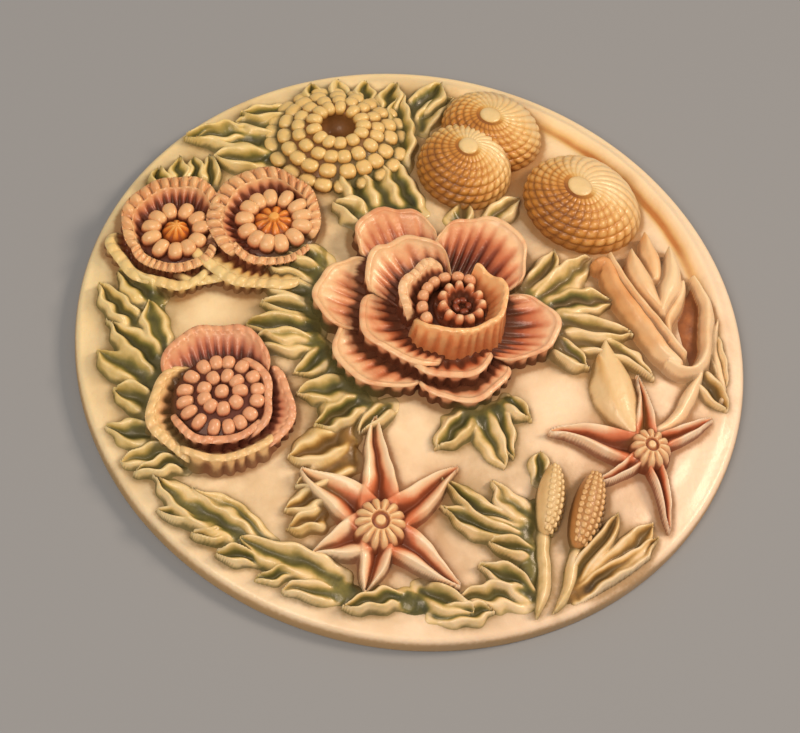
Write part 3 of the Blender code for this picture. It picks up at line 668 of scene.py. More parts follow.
def cone_shells(centre, width, squash, lean, twist):
    """A turned mound whose surface is pushed out into pillows between rings and twisting files: the product
    of two sines to a low power. On the side towards the light only the files show. Its paint is painted
    shade, deeper between the pillows and on the side away from the light."""
    h = CONE_HEIGHT
    profile = ((1.03, -SINK), (1.0, 0.0), (0.985, 0.16 * h), (0.93, 0.42 * h), (0.78, 0.68 * h),
               (0.54, 0.86 * h), (0.30, 0.945 * h), (0.27, 0.955 * h))
    curve = smooth_path([(r * width, z) for r, z in profile], 400)
    length = np.concatenate([[0], np.cumsum(np.hypot(*np.diff(curve, axis=0).T))])
    even = np.linspace(0, length[-1], SCALE_ROWS * 8 + 6)
    r, z = np.interp(even, length, curve[:, 0])[:, None], np.interp(even, length, curve[:, 1])[:, None]
    slope_r, slope_z = np.gradient(r[:, 0])[:, None], np.gradient(z[:, 0])[:, None]
    steep = np.hypot(slope_r, slope_z)
    v = (1 - even / length[-1])[:, None]
    angle = np.linspace(0, 2 * math.pi, SCALE_FILES * 8, endpoint=False)[None]
    towards = 0.5 + 0.5 * np.cos(angle - math.radians(48))
    rows = np.abs(np.sin(math.pi * SCALE_ROWS * v ** 0.9)) ** 0.5
    files = np.abs(np.sin(0.5 * SCALE_FILES * (angle + twist * 0.75 * v))) ** 0.5
    smooth = np.clip(2.0 * towards - 1.0, 0, 1)
    pillow = files * (rows + (1 - rows) * smooth)
    push = SCALE_DEPTH * (pillow - 0.5) * np.clip(v / 0.25, 0.35, 1) * np.clip((1.02 - v) / 0.12, 0, 1)
    radius = r + push * slope_z / steep
    height = z - push * slope_r / steep
    lift = np.clip(height / h, 0, 1)
    x = centre[0] + radius * np.cos(angle) + lean[0] * lift
    y = centre[1] + radius * np.sin(angle) * squash + lean[1] * lift
    # Painted shade: darker between the pillows and on the side away from the light
    paint = 0.42 * (1 - pillow) * (1 - 0.5 * smooth) + 0.66 * (1 - towards) ** 1.3 + 0.10 * v - 0.10
    button = ((0.34 * width, 0.80 * h, 0, 0.7), (0.27 * width, 0.90 * h, 0, 0.6),
              (0.22 * width, 0.93 * h, 0, 0.5), (0.19 * width, 0.97 * h, 0, 0.1),
              (0.11 * width, 0.995 * h, 0, 0), (0.01, h, 0, 0))
    return [(on_face(x, y, height), np.clip(paint, 0, 1)),
            turned(centre, button, squash=squash, lean=lean, rings=16)]


cone_resin = resin_with_wash_and_shade("ochre_cone_resin", CONE_TINTS, strength=0.55)
for name, *shape in CONES:
    shell_piece(name, cone_shells(*shape), cone_resin)

# The star flowers
# Two open flowers, a large one at the bottom and a small one at the right: pointed petals with raised cream
# edges and a salmon groove, brown at the heart, joined round a ribbed cream knob that has a ring on top.
STAR_HEIGHT = 1.8
KNOB_HEIGHT = 2.9
STAR_TINTS = ((0.0, "#fdf0dc"), (0.18, "#f7d8ba"), (0.45, "#e0906a"), (0.75, "#b9653f"), (1.0, "#74402a"))
BIG_STAR, LITTLE_STAR = (-4.4, -27.5), (27.1, -15.4)
RELIEF_STEP = 0.14
SKIRT = 0.10
OUTSIDE = 0.50
FALL = 1.6
RELIEF_REACH = 39.0


def hand_shift(x, y, ruffle):
    """Shifts of the layout, as in a hand-carved master: slow sines about 9 mm long, and ruffles 3 mm long
    that come and go over 12 mm."""
    fold = ruffle * (1 + 0.7 * np.sin(0.5 * x + 0.4) * np.cos(0.45 * y))
    return (0.26 * np.sin(0.62 * y + 0.35 * x + 1.0) + fold * np.sin(2.1 * y - 1.3 * x),
            0.26 * np.sin(0.57 * x - 0.30 * y + 2.2) + fold * np.sin(1.9 * x + 1.5 * y + 0.7))


def lobe(root, tip, width, height, bend=0.0, groove=0.10, crest=0.66, base=0.80, point=2.3, tilt=0.0,
         deep=1.1, fold=1.5, open_root=0.35, shoulder=0.45, fade=0.7, heart=0.0):
    """A carved lobe as a height over the face. Its middle line runs from root to tip, bent aside by a
    parabola. Distance from that line over the half width there says where a point lies: a groove in the
    middle, a round raised edge at the crest, then down and under the face. It rises from the face over the
    open share of its length, so its groove runs out at the root. Returns its box and its function of x and y,
    which gives height and paint; paint is deep in the groove, most at the root, and 0 on the edges, and grows
    down the outer side: the groove's tint with painted shade in it and down the side. The heart adds paint
    that fades out along the first half."""
    root, tip = np.array(root, float), np.array(tip, float)
    length = float(np.linalg.norm(tip - root))
    along = (tip - root) / length
    margin = 0.8 * width + abs(bend) + 0.6
    box = (min(root[0], tip[0]) - margin, min(root[1], tip[1]) - margin,
           max(root[0], tip[0]) + margin, max(root[1], tip[1]) + margin)

    def form(x, y):
        """Height and paint at x, y."""
        dx, dy = x - root[0], y - root[1]
        ahead, aside = dx * along[0] + dy * along[1], dy * along[0] - dx * along[1]
        t = np.clip(ahead / length, 0, 1)
        aside = aside - bend * 4 * t * (1 - t)
        half = base + (1 - base) * np.sin(math.pi / 2 * np.clip(t / shoulder, 0, 1))
        half = half * (1 - 0.90 * np.clip((t - shoulder) / (1 - shoulder), 0, 1) ** point) * width / 2
        e = np.hypot(ahead - length * t, aside) / half
        into = np.sin(math.pi / 2 * np.clip(e / crest, 0, 1))
        inside = groove + (1 - groove) * into ** fold
        outside = np.cos(math.pi / 2 * np.clip((e - crest) / (1 - crest), 0, 1.9))
        v = np.where(e < crest, inside, outside)
        high = height * (0.80 + 0.20 * np.sin(math.pi * t)) * (1 + tilt * np.clip(aside / half, -1, 1))
        rise = np.clip(ahead / length / open_root, 0, 1) if open_root else 1.0
        high = high * rise * (2 - rise)
        # Paint: the groove's tint, deepened as painted shade into the groove and down the outer side
        inner = deep * (1 - into) ** fade * (1.25 - 0.80 * t)
        paint = np.where(e < crest, inner, 0.45 * np.clip(e - crest, 0, 1))
        paint = paint + heart * np.clip((0.46 - t) / 0.24, 0, 1)
        return np.where(v > 0, high * v, FALL * v), paint

    return box, form


def relief_piece(name, forms, material, blend=0.20, step=RELIEF_STEP, ruffle=0.03):
    """One piece of carved relief. On an even grid the forms are joined to each other and to the face by a
    soft maximum (the logarithm of the sum of their exponentials over the blend), so they flow into each other
    and run out on the disc. Cells well outside all forms lie under the face and are dropped; from the border
    that they leave a wall goes down inside the disc, closed by triangles to one deep point."""
    boxes = np.array([box for box, _ in forms])
    left, low = boxes[:, :2].min(0)
    right, high = boxes[:, 2:].max(0)
    gx, gy = np.meshgrid(np.arange(left, right, step), np.arange(low, high, step))
    shift_x, shift_y = hand_shift(gx, gy, ruffle)
    wx, wy = gx + shift_x, gy + shift_y
    height = np.full(gx.shape, -SINK)
    paint = np.zeros(gx.shape)
    for (x0, y0, x1, y1), form in forms:
        cols = slice(max(0, int((x0 - left) / step)), int((x1 - left) / step) + 2)
        rows = slice(max(0, int((y0 - low) / step)), int((y1 - low) / step) + 2)
        old = height[rows, cols]
        new, tone = form(wx[rows, cols], wy[rows, cols])
        share = 1 / (1 + np.exp(np.clip((old - new) / (0.6 * blend), -30, 30)))
        paint[rows, cols] += (tone - paint[rows, cols]) * share
        height[rows, cols] = blend * np.logaddexp(old / blend, new / blend)
    around = [height[:-1, :-1], height[1:, :-1], height[:-1, 1:], height[1:, 1:]]
    keep = np.maximum.reduce(around) > -OUTSIDE
    height = blend * np.logaddexp(height / blend, 0) - SKIRT
    keep &= (np.hypot(gx, gy) < RELIEF_REACH)[:-1, :-1]
    while True:
        a, b, c, d = keep[:-1, :-1], keep[:-1, 1:], keep[1:, :-1], keep[1:, 1:]
        cross = (a & d & ~b & ~c) | (b & c & ~a & ~d)
        if not cross.any():
            break
        for part in (a, b, c, d):
            part |= cross
    count = gx.size
    number = np.arange(count).reshape(gx.shape)
    corner = [number[:-1, :-1], number[:-1, 1:], number[1:, 1:], number[1:, :-1]]
    quads = np.stack([c[keep] for c in corner], -1)
    edge = np.pad(keep, 1)
    inner = slice(1, -1)
    outside = ((edge[:-2, inner], 0, 1), (edge[inner, 2:], 1, 2),
               (edge[2:, inner], 2, 3), (edge[inner, :-2], 3, 0))
    rims = np.concatenate([np.stack([corner[q][keep & ~beside], corner[p][keep & ~beside]], -1)
                           for beside, p, q in outside])
    used, place = np.unique(np.concatenate([quads.ravel(), rims.ravel()]), return_inverse=True)
    x, y = gx.ravel()[used], gy.ravel()[used]
    top = on_face(x, y, height.ravel()[used])
    quad_corners, rim = place[:quads.size], place[quads.size:].reshape(-1, 2)
    brim, below = np.unique(rim, return_inverse=True)
    below = len(used) + below.reshape(-1, 2)
    walls = np.concatenate([rim, below[:, ::-1]], 1)
    fans = np.concatenate([below, np.full((len(rim), 1), len(used) + len(brim))], 1)
    foot = on_face(x[brim], y[brim], -SINK)
    bottom = on_face(x.mean(), y.mean(), -1.5 * SINK)
    return add_piece(name, np.concatenate([top, foot, bottom[None]]),
                     np.concatenate([paint.ravel()[used], np.zeros(len(brim) + 1)]),
                     np.concatenate([quad_corners, walls.ravel(), fans.ravel()]),
                     np.concatenate([np.full(len(quads) + len(walls), 4), np.full(len(fans), 3)]),
                     material)


def star_knob(centre, radius, ribs):
    """A ribbed knob like a small pumpkin, with a sunk ring and a dot on top."""
    h = KNOB_HEIGHT
    shape = ((1.15, -SINK / h, 0, 1), (1.08, 0.15, 0.4, 1), (1.0, 0.55, 1, 0.4), (0.84, 0.86, 1, 0.1),
             (0.55, 0.98, 1, 0.05), (0.38, 0.97, 0.2, 0.2), (0.31, 0.84, 0, 0.8), (0.22, 0.86, 0, 0.6),
             (0.16, 0.98, 0, 0), (0.003, 1, 0, 0))
    profile = [(r * radius, z * h, weight, paint) for r, z, weight, paint in shape]
    return turned(centre, profile, ribs=ribs, rib_depth=0.42, rings=60)


def star_forms():
    """Six large petals and five small ones, each from its knob to a tip."""
    big = (((-5.0, -14.4), 4.0), ((4.4, -20.3), 4.2), ((4.8, -33.6), 4.0), ((-5.6, -34.8), 4.0),
           ((-11.5, -30.8), 4.2), ((-13.0, -20.8), 4.6))
    small = (((26.0, -5.8), 3.0), ((35.3, -9.9), 2.5), ((29.4, -24.6), 2.5), ((20.2, -20.6), 2.2),
             ((15.2, -14.2), 4.6))
    forms = []
    for centre, petals, spread, point, deep in ((BIG_STAR, big, 1.22, 2.0, 0.95),
                                                (LITTLE_STAR, small, 1.06, 1.35, 1.30)):
        for k, (tip, width) in enumerate(petals):
            forms.append(lobe(centre, tip, spread * width, 1.15 * STAR_HEIGHT, groove=0.30, crest=0.74,
                              base=1.0, point=point, tilt=0.08 * math.sin(3 * k), deep=deep, fold=1.1,
                              open_root=0, shoulder=0.12, fade=1.15, heart=0.55))
    return forms


star_resin = resin_with_wash_and_shade("salmon_star_resin", STAR_TINTS)
star_knobs = [star_knob(BIG_STAR, 3.0, 14), star_knob(LITTLE_STAR, 2.4, 12)]
relief_piece("star_flowers", star_forms(), star_resin, blend=0.25, step=0.12)
shell_piece("star_knobs", star_knobs, pale_pink_resin)

# The iris
# The tall flower at the right border: smooth pods standing in two curled outer petals, on a long bent stem.
# Cream with orange-brown in the folds, partly wash and partly painted shade.
IRIS_HEIGHT = 3.2
IRIS_TINTS = ((0.0, "#fdeccc"), (0.35, "#f3cb98"), (0.7, "#d4935a"), (1.0, "#84502a"))


def ridge(root, tip, width, height, bend=0.0, base=0.6, point=2.5, tone=0.0):
    """A smooth rounded ridge: a lobe with no groove."""
    box, form = lobe(root, tip, width, height, bend, groove=1.0, crest=0.05, base=base, point=point,
                     open_root=0)

    def rounded(x, y):
        """The lobe's height raised to a power under 1, and one tone."""
        low = form(x, y)[0]
        return np.where(low > 0, height * (np.abs(low) / height) ** 0.6, low), tone

    return box, rounded


def band(path, width, height, tones=(0.0, 0.0)):
    """A rounded band along a smooth path, narrower at both ends; its tone goes evenly from end to end. The
    height at a place is a power of a cosine of its distance from the path over the half width there."""
    line = smooth_path(path, 90)
    box = (*(line.min(0) - width), *(line.max(0) + width))

    def form(x, y):
        """Height and tone at x, y."""
        away = (x[..., None] - line[:, 0]) ** 2 + (y[..., None] - line[:, 1]) ** 2
        t = away.argmin(-1) / (len(line) - 1)
        half = width / 2 * (0.5 + 0.5 * np.sin(math.pi * t) ** 0.6)
        v = np.cos(math.pi / 2 * np.clip(np.sqrt(away.min(-1)) / half, 0, 1.9))
        return np.where(v > 0, height * np.abs(v) ** 0.7, FALL * v), tones[0] + (tones[1] - tones[0]) * t

    return box, form


def iris_forms():
    """A broad orange petal at the left that turns under the flower and up again at the right, the narrower
    petals inside it, three pods, dark hollows between them, which are low patches of deep paint standing for
    the wash and for painted shade, and the stem."""
    h = IRIS_HEIGHT
    return [
        # Two low patches of deep paint: the wash and painted shade in the hollows inside the petals
        ridge((33.6, -2.6), (33.6, 8.6), 3.4, 0.10 * h, tone=1.0),
        ridge((27.0, 4.0), (25.2, 10.4), 3.0, 0.12 * h, tone=1.0),
        band(((21.8, 8.8), (23.0, 9.0), (24.3, 5.8), (26.2, 2.2), (28.4, -1.2), (31.0, -3.4)), 3.5, 0.85 * h,
             (0.62, 0.10)),
        band(((23.2, 10.2), (24.9, 7.6), (26.8, 4.0), (29.4, 0.4), (31.6, -2.2)), 1.7, 0.92 * h,
             (0.12, 0.05)),
        band(((29.8, -3.4), (32.6, -4.2), (34.8, -1.0), (35.4, 3.2), (35.0, 6.6), (33.8, 9.2)), 2.1, 0.78 * h,
             (0.10, 0.05)),
        band(((32.2, 8.2), (31.6, 5.0), (30.2, 2.2), (29.8, -0.8)), 1.7, 0.70 * h, (0.05, 0.25)),
        ridge((29.4, 3.2), (25.6, 11.8), 3.3, h, bend=0.3, base=0.4, tone=0.06),
        ridge((29.5, 3.0), (30.9, 12.8), 3.3, 1.02 * h, bend=-0.5, base=0.4, tone=0.0),
        ridge((28.8, 8.0), (28.1, 15.0), 3.0, 0.86 * h, tone=0.16),
        ridge((28.2, -12.6), (34.0, -3.0), 2.0, 0.5 * h, bend=-1.2, base=0.9),
        ridge((36.6, -7.0), (36.6, 4.6), 1.5, 0.35 * h, bend=0.3, base=0.5),
    ]


iris_resin = resin_with_wash_and_shade("iris_resin", IRIS_TINTS, strength=0.55, patchy=0.5)
relief_piece("iris", iris_forms(), iris_resin, blend=0.12, step=0.12)

# The cattails
# Two reed heads on thin stems at the lower right: one cream, one brown, both covered in rows of fine beads.
CATTAIL_HEIGHT = 2.9
BROWN_TINTS = ((0.0, "#e3c08a"), (0.3, "#cc9c62"), (0.65, "#9a6634"), (1.0, "#643a18"))


def reed_shell(root, tip, width, tone):
    """The plain head under the beads: half ellipses along its length."""
    root, tip = np.array(root, float), np.array(tip, float)
    along = (tip - root) / np.linalg.norm(tip - root)
    aside = np.array([-along[1], along[0]])
    t = bunched(40)[:, None] * 0.985 + 0.0075
    swell = np.sin(math.pi * t) ** 0.4
    q = np.linspace(math.pi, 0, 19)[None]
    side = np.concatenate([[[-1.0]], np.cos(q), [[1.0, 0.0]]], 1)
    rise = np.concatenate([[[-1.0]], np.sin(q) ** 0.9, [[-1.0, -1.0]]], 1)
    h = np.where(rise >= 0, rise * CATTAIL_HEIGHT * (0.35 + 0.65 * swell), -SINK)
    across = side * width / 2 * swell
    middle = root[:, None, None] + (tip - root)[:, None, None] * t
    return on_face(middle[0] + aside[0] * across, middle[1] + aside[1] * across, h), tone + 0 * h


def reed_head(root, tip, width, rows, tone, under, left):
    """A rounded head, with rows of beads laid over its right flank and on to a given number of files left of
    the middle."""
    shells = [reed_shell(root, tip, width, under)]
    root, tip = np.array(root), np.array(tip)
    along = (tip - root) / np.linalg.norm(tip - root)
    aside = np.array([-along[1], along[0]])
    heading = math.atan2(along[1], along[0])
    for i in range(rows):
        t = 0.08 + 0.84 * i / (rows - 1)
        swell = math.sin(math.pi * t) ** 0.4
        for k in range(-3, left + 1):
            q = k * math.radians(25)
            place = root + (tip - root) * t + aside * (math.sin(q) * width / 2 * swell * 0.97)
            z = CATTAIL_HEIGHT * (0.35 + 0.65 * swell) * math.cos(q) ** 0.9 - 0.14
            shells.append(bead(place[0], place[1], z, heading, 0.80, 0.84 * swell, 0.26, tone))
    return shells


brown_resin = resin_with_wash_and_shade("brown_reed_resin", BROWN_TINTS)
pale_head = reed_head((14.4, -27.3), (15.6, -18.6), 3.2, 11, 0.0, 0.1, 0)
dark_head = reed_head((18.2, -28.4), (20.6, -18.9), 3.7, 12, 0.0, 0.35, 1)
shell_piece("cattail_pale", pale_head, seed_resin)
shell_piece("cattail_dark", dark_head, brown_resin)

# The leaves
# Sprays of ruffled, lobed leaves between the flowers, blades and reed stems at the lower right, and one
# smooth bud. Cream raised edges, with an olive-green wash rubbed into the hollows and painted shade deepening
# it there, ochre on two sprays; the bud has painted shade down its left flank.
LEAF_HEIGHT = 1.5
LEAF_TINTS = ((0.0, "#f6e9c6"), (0.14, "#e8d8a6"), (0.30, "#bdae70"), (0.48, "#808047"), (0.74, "#4c502b"),
              (1.0, "#2f3118"))
# Each lobe: root, tip, width, bend
SPRAYS = {
    "right_of_rose": (
        ((13.0, 4.2), (16.9, 10.9), 3.2, 0), ((14.0, 3.4), (21.4, 10.4), 3.7, 0),
        ((15.5, 2.0), (23.2, 4.8), 3.2, 0.4), ((16.5, 0.2), (25.4, -0.2), 3.2, 0.5),
        ((15.0, -2.6), (19.8, -5.4), 2.9, 0.5), ((18.5, -1.6), (28.4, -5.2), 2.9, 0.9),
        ((4.3, 14.0), (6.5, 17.2), 2.7, 0), ((9.0, 14.8), (12.2, 18.6), 3.2, 0)),
    "above_the_rose": (
        ((-6.0, 15.3), (-9.5, 23.6), 3.4, 0.3), ((-3.4, 15.8), (-6.8, 23.6), 3.2, 0.2),
        ((-0.8, 15.4), (-3.6, 24.0), 3.7, 0), ((-6.2, 13.3), (-10.0, 15.6), 3.7, -0.4),
        ((-2.2, 22.5), (-1.8, 34.6), 3.7, 0.3), ((0.8, 29.6), (4.6, 35.4), 2.9, 0.3)),
    "top_edge": (
        ((-12.6, 32.2), (-13.2, 36.0), 2.9, 0), ((-9.2, 32.4), (-9.3, 36.8), 3.2, 0),
        ((-6.2, 31.8), (-6.0, 37.2), 2.9, 0), ((-3.2, 31.0), (-2.8, 37.2), 3.2, 0),
        ((0, 32), (3.2, 37.0), 3.7, 0)),
    "upper_left": (
        ((-15.0, 31.6), (-21.8, 30.6), 2.9, 0), ((-16.8, 28.2), (-22.4, 29.4), 3.2, 0),
        ((-18.0, 25.6), (-26.6, 26.3), 3.9, -0.4), ((-17.8, 22.6), (-24.6, 23.4), 3.7, 0),
        ((-20.5, 28.0), (-28.4, 26.6), 2.7, 0.5), ((-25.3, 19.0), (-25.3, 23.2), 2.2, 0),
        ((-27.0, 18.6), (-27.3, 23.2), 2.0, 0), ((-28.8, 18.4), (-29.4, 23.0), 2.0, 0),
        ((-30.5, 17.8), (-31.6, 21.4), 2.2, 0)),
    "left_of_rose": (
        ((-11.2, 7.0), (-15.6, 8.4), 3.4, 0), ((-12.0, 5.0), (-18.4, 6.6), 3.2, -0.3),
        ((-12.2, 2.2), (-18.0, 3.0), 2.9, 0), ((-12.6, -0.2), (-18.2, 0.6), 2.7, 0),
        ((-12.0, -2.6), (-20.2, -2.4), 3.5, 0.3), ((-11.8, -4.4), (-19.8, -4.6), 2.9, -0.3),
        ((-11.0, -5.6), (-14.2, -8.4), 3.2, 0.4), ((-8.4, -9.8), (-13.6, -11.2), 3.2, 0.4),
        ((-6.6, -11.4), (-11.8, -15.4), 3.4, 0.3), ((-3.8, -12.4), (-6.4, -15.8), 2.7, 0)),
    "by_the_big_star": (
        ((-8.3, -15.8), (-14.8, -19.2), 4.1, 0.4), ((-7.8, -19.4), (-13.4, -22.4), 3.4, 0),
        ((-9.4, -23.2), (-15.2, -25.2), 2.9, 0), ((-10.4, -26.4), (-14.8, -27.4), 2.7, 0)),
    "left_border": (
        ((-29.6, -8.2), (-36.0, -1.0), 3.7, 0), ((-30.8, -9.8), (-37.2, -5.0), 3.2, 0),
        ((-29.4, -5.6), (-31.6, 1.2), 2.9, 0), ((-32.6, -1.4), (-37.4, 3.6), 2.9, 0),
        ((-31.0, 1.8), (-35.6, 5.6), 2.9, 0), ((-30.2, -12.4), (-34.8, -10.6), 3.2, 0),
        ((-29.0, -16.4), (-35.6, -15.4), 3.2, 0), ((-27.6, -18.6), (-33.4, -19.2), 2.9, 0),
        ((-26.6, -20.0), (-31.8, -20.9), 2.4, 0)),
    "lower_border": (
        ((-18.6, -29.6), (-29.6, -21.8), 3.7, 0.2), ((-16.2, -29.2), (-25.4, -22.8), 2.0, -0.2),
        ((-24.0, -26.8), (-29.3, -25.4), 1.5, 0), ((-21.0, -29.0), (-25.6, -28.5), 1.6, 0),
        ((-17.6, -31.0), (-22.6, -31.0), 1.6, 0), ((-8.6, -33.2), (-19.4, -28.9), 3.4, 0.4),
        ((-13.4, -32.9), (-18.2, -33.5), 1.6, 0), ((-8.8, -35.0), (-15.0, -34.9), 2.0, 0),
        ((-1.4, -35.4), (-8.0, -36.4), 2.5, 0),
        ((0.4, -34.2), (6.2, -36.6), 2.9, 0), ((2.2, -36.6), (8.8, -36.4), 2.4, -0.3)),
    "by_the_cattails": (
        ((13.2, -26.6), (3.0, -21.4), 2.9, 0.8), ((13.3, -25.6), (8.6, -21.0), 2.7, 0.3),
        ((13.0, -27.3), (2.6, -24.7), 2.9, 0.5), ((13.2, -29.4), (7.8, -28.4), 2.4, 0),
        ((13.3, -34.0), (7.2, -31.2), 2.4, 0), ((12.8, -34.2), (4.6, -35.0), 2.7, 0),
        ((13.9, -20.2), (14.4, -16.6), 2.2, 0)),
    "below_the_rose": (
        ((6.2, -12.6), (1.8, -17.2), 3.4, 0), ((7.2, -13.2), (9.6, -18.8), 3.4, 0),
        ((9.0, -12.0), (10.8, -17.4), 2.7, 0), ((10.0, -10.8), (12.8, -12.8), 2.2, 0)),
    "right_border": (
        ((33.0, -3.8), (37.2, -8.0), 2.7, 0), ((36.0, 2.4), (36.8, -5.0), 2.2, 0),
        ((19.6, -33.2), (27.6, -24.3), 3.2, 0), ((17.8, -32.0), (23.4, -23.6), 2.4, 0),
        ((18.2, -33.8), (28.0, -25.6), 2.0, -0.4)),
}
# Each spine joins the roots of a spray: the points it passes through
SPINES = {
    "right_of_rose": ((12.6, 5.4), (14.8, 2.6), (16.0, -0.4), (16.0, -3.6)),
    "above_the_rose": ((-6.8, 14.4), (-3.4, 15.4), (-0.4, 15.0)),
    "upper_left": ((-16.6, 31.0), (-18.0, 27.4), (-18.2, 23.0)),
    "left_of_rose": ((-11.4, 8.4), (-12.4, 3.0), (-12.6, -2.4), (-10.4, -7.6), (-6.0, -12.2)),
    "by_the_big_star": ((-7.8, -14.2), (-8.4, -18.4), (-9.8, -22.6), (-10.8, -27.0)),
    "left_border": ((-31.2, 3.2), (-30.6, -2.0), (-29.8, -8.0), (-29.8, -13.0), (-27.6, -18.6)),
    "lower_border": ((-28.4, -22.4), (-23.0, -27.2), (-17.4, -30.4), (-11.0, -33.6), (-4.0, -35.4),
                     (2.6, -35.6)),
    "by_the_cattails": ((12.2, -33.4), (12.8, -30.0), (12.3, -26.6), (13.2, -23.4)),
    "below_the_rose": ((4.8, -12.4), (7.8, -13.4), (10.8, -10.8)),
    "right_border": ((16.8, -33.8), (19.0, -32.4), (21.6, -29.6)),
}
OCHRE_LEAF_TINTS = ((0.0, "#f6e9c6"), (0.14, "#ead6a2"), (0.30, "#cbae70"), (0.48, "#9a7a42"),
                    (0.74, "#64502a"), (1.0, "#3c2f18"))
leaf_resin = resin_with_wash_and_shade("olive_leaf_resin", LEAF_TINTS, patchy=0.55)
ochre_leaf_resin = resin_with_wash_and_shade("ochre_leaf_resin", OCHRE_LEAF_TINTS, patchy=0.55)
OCHRE_SPRAYS = ("by_the_big_star", "right_border")
for spray, lobes in SPRAYS.items():
    forms = [lobe(root, tip, 1.2 * width, (1.0 + 0.18 * math.sin(5 * k)) * LEAF_HEIGHT, bend,
                  groove=0.14 - 0.13 * math.cos(2.3 * k), crest=0.64 - 0.06 * math.cos(4 * k),
                  deep=0.95 + 0.25 * math.cos(3.1 * k), tilt=0.34 * math.sin(7 * k + 1))
             for k, (root, tip, width, bend) in enumerate(lobes)]
    if spray in SPINES:
        forms.append(band(SPINES[spray], 2.5, 0.42 * LEAF_HEIGHT, (0.55, 0.75)))
    resin = ochre_leaf_resin if spray in OCHRE_SPRAYS else leaf_resin
    ruffle = 0.07 if spray == "right_border" else 0.15
    relief_piece("leaves_" + spray, forms, resin, blend=0.34, ruffle=ruffle)
relief_piece("reed_stems", [
    ridge((14.7, -25.6), (13.9, -36.2), 1.9, 0.5 * CATTAIL_HEIGHT, base=0.9, tone=0.15),
    ridge((18.7, -26.6), (15.5, -35.8), 1.7, 0.42 * CATTAIL_HEIGHT, bend=0.5, base=0.9, tone=0.15),
], leaf_resin)
relief_piece("smooth_bud", [
    ridge((25.6, -13.2), (22.4, -1.6), 5.6, 1.4 * LEAF_HEIGHT, bend=1.0, base=0.5),
    # Painted shade: a deeper tone down the bud's left flank, the side away from the light
    ridge((23.4, -11.0), (21.2, -3.6), 2.4, 1.25 * LEAF_HEIGHT, bend=0.4, base=0.4, tone=0.55),
], cream_resin)

# The wash and painted shade
# Thin brown and olive colour was rubbed over the whole cast and wiped off the high places, so it stays where
# the surface lies below what is around it; the same depth also lays painted shade in hollows and creases.
# The hollow attribute says how far, the wash attribute what colour.
MAP_STEP = 0.2
MAP_HALF = 41.0
# Each mean of the surface: its half width, the depth under it that the wash and painted shade fill, the depth
# that stays clean, and its share in the wash and painted shade, on the forms and on the disc
MEANS = ((0.4, 0.45, 0.0, (0.45, 0.45)), (1.0, 0.9, 0.05, (0.50, 0.425)), (2.4, 2.0, 0.10, (0.32, 0.12)))
# How far the colours of the forms spread, close by and as a stain
CLOSE_SPREAD = 0.8
STAIN_SPREAD = 2.6
BARE_WASH = "#b88a4a"
BARE_WEIGHT = 0.06
WASHES = {
    "rose": "#5b2512", "buttercup": "#55180f", "cup_flower": "#5d2210", "seed_head": "#7d5122",
    "cone": "#96612a", "star_flowers": "#7a3418", "star_knobs": "#6e2f16", "iris": "#7c4722",
    "cattail_pale": "#85602a", "cattail_dark": "#59330f", "leaves_by_the_big": "#74572a",
    "leaves_right": "#74603a", "leaves": "#54532a", "reed_stems": "#5c5426", "smooth_bud": "#8f6a33",
}


def blurred(values, reach):
    """Mean over a square of the given half width, twice over, by running sums along each axis."""
    cells = max(1, int(round(reach / MAP_STEP)))
    for _ in range(2):
        for axis in (0, 1):
            pad = [(0, 0)] * values.ndim
            pad[axis] = (cells + 1, cells)
            total = np.cumsum(np.pad(values, pad, mode="edge"), axis=axis)
            wide = 2 * cells + 1
            values = (np.take(total, range(wide, total.shape[axis]), axis)
                      - np.take(total, range(0, total.shape[axis] - wide), axis)) / wide
    return values


def sampled(grid, across, up):
    """Values of a grid at places counted in cells, mixed from the four cells round each place."""
    across, up = np.clip(across, 0, grid.shape[1] - 1.001), np.clip(up, 0, grid.shape[0] - 1.001)
    column, row = across.astype(int), up.astype(int)
    shape = (-1,) + (1,) * (grid.ndim - 2)
    s, t = (across - column).reshape(shape), (up - row).reshape(shape)
    low = grid[row, column] * (1 - s) + grid[row, column + 1] * s
    return low * (1 - t) + (grid[row + 1, column] * (1 - s) + grid[row + 1, column + 1] * s) * t


def wash_colour(piece):
    """The wash of the first name in the list that this piece's name begins with."""
    return next((code for name, code in WASHES.items() if piece.name.startswith(name)), BARE_WASH)


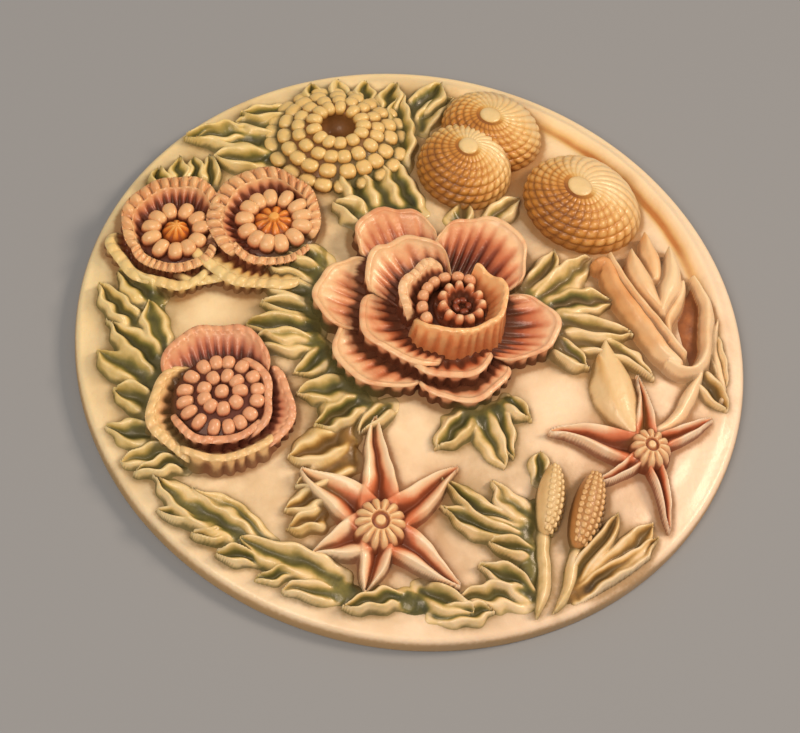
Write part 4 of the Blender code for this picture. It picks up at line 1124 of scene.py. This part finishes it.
def lay_wash_and_painted_shade(pieces):
    """Draws the highest surface of all pieces on a grid and blurs it at three reaches. Each point of each
    piece gets how deep it lies below those means, as a share of a full hollow, which lays the wash and painted
    shade there, and the colours of the pieces around it. On the disc the wash is thinner and paler, and
    reaches a little way over the bare ground."""
    size = int(2 * MAP_HALF / MAP_STEP) + 1
    edge = np.linspace(-MAP_HALF, MAP_HALF, size)
    gx, gy = np.meshgrid(edge, edge)
    radius = np.hypot(gx, gy)
    face = np.where(radius < FACE, ground(gx, gy), EDGE_HEIGHT - np.clip(radius - FACE, 0, 1))
    top, tint = face.copy(), np.zeros((size, size, 4))
    places = []
    for piece in pieces:
        flat = np.empty(len(piece.data.vertices) * 3, np.float32)
        piece.data.vertices.foreach_get("co", flat)
        points = flat.reshape(-1, 3) / MM
        across, up = ((points[:, k] / (UNIT / MM) + MAP_HALF) / MAP_STEP for k in (0, 1))
        places.append((piece, across, up, points))
        column, row = across.round().astype(int), up.round().astype(int)
        if piece is disc:
            continue
        np.maximum.at(top, (row, column), points[:, 2])
        shown = points[:, 2] > face[row, column]
        tint[row[shown], column[shown]] = (*linear(wash_colour(piece))[:3], 1.0)
    filled = top.copy()
    for shift in ((0, 1), (0, -1), (1, 0), (-1, 0)):
        filled = np.maximum(filled, np.roll(top, shift, (0, 1)) - 0.12)
    means = [blurred(filled, reach) for reach, *_ in MEANS]
    tint_near, tint_far = blurred(tint, CLOSE_SPREAD), blurred(tint, STAIN_SPREAD)
    bare = np.array(linear(BARE_WASH)[:3])
    for piece, across, up, points in places:
        # How deep each point lies below the blurred surface: where the wash lies, and painted shade in the
        # hollows
        hollow = np.zeros(len(points))
        for mean, (_, full, clean, parts) in zip(means, MEANS):
            depth = sampled(mean, across, up) - points[:, 2] - clean
            hollow += parts[1 if piece is disc else 0] * np.clip(depth / full, 0, 1)
        stained = sampled(tint_far, across, up)
        weights = sampled(tint_near, across, up) + 0.25 * stained
        share = weights[:, 3:]
        colour = (weights[:, :3] + BARE_WEIGHT * bare) / (share + BARE_WEIGHT)
        alpha = np.zeros_like(share)
        if piece is disc:
            colour = 0.60 * colour + 0.40 * bare
            alpha = np.clip(2.6 * stained[:, 3:] - 0.30, 0, 1)
        hollow = np.clip(hollow, 0, 1).astype(np.float32)
        wash = np.concatenate([colour, alpha], 1).astype(np.float32)
        data = piece.data.attributes
        data.new("hollow", "FLOAT", "POINT").data.foreach_set("value", hollow)
        data.new("wash", "FLOAT_COLOR", "POINT").data.foreach_set("color", wash.reshape(-1))


lay_wash_and_painted_shade(made)
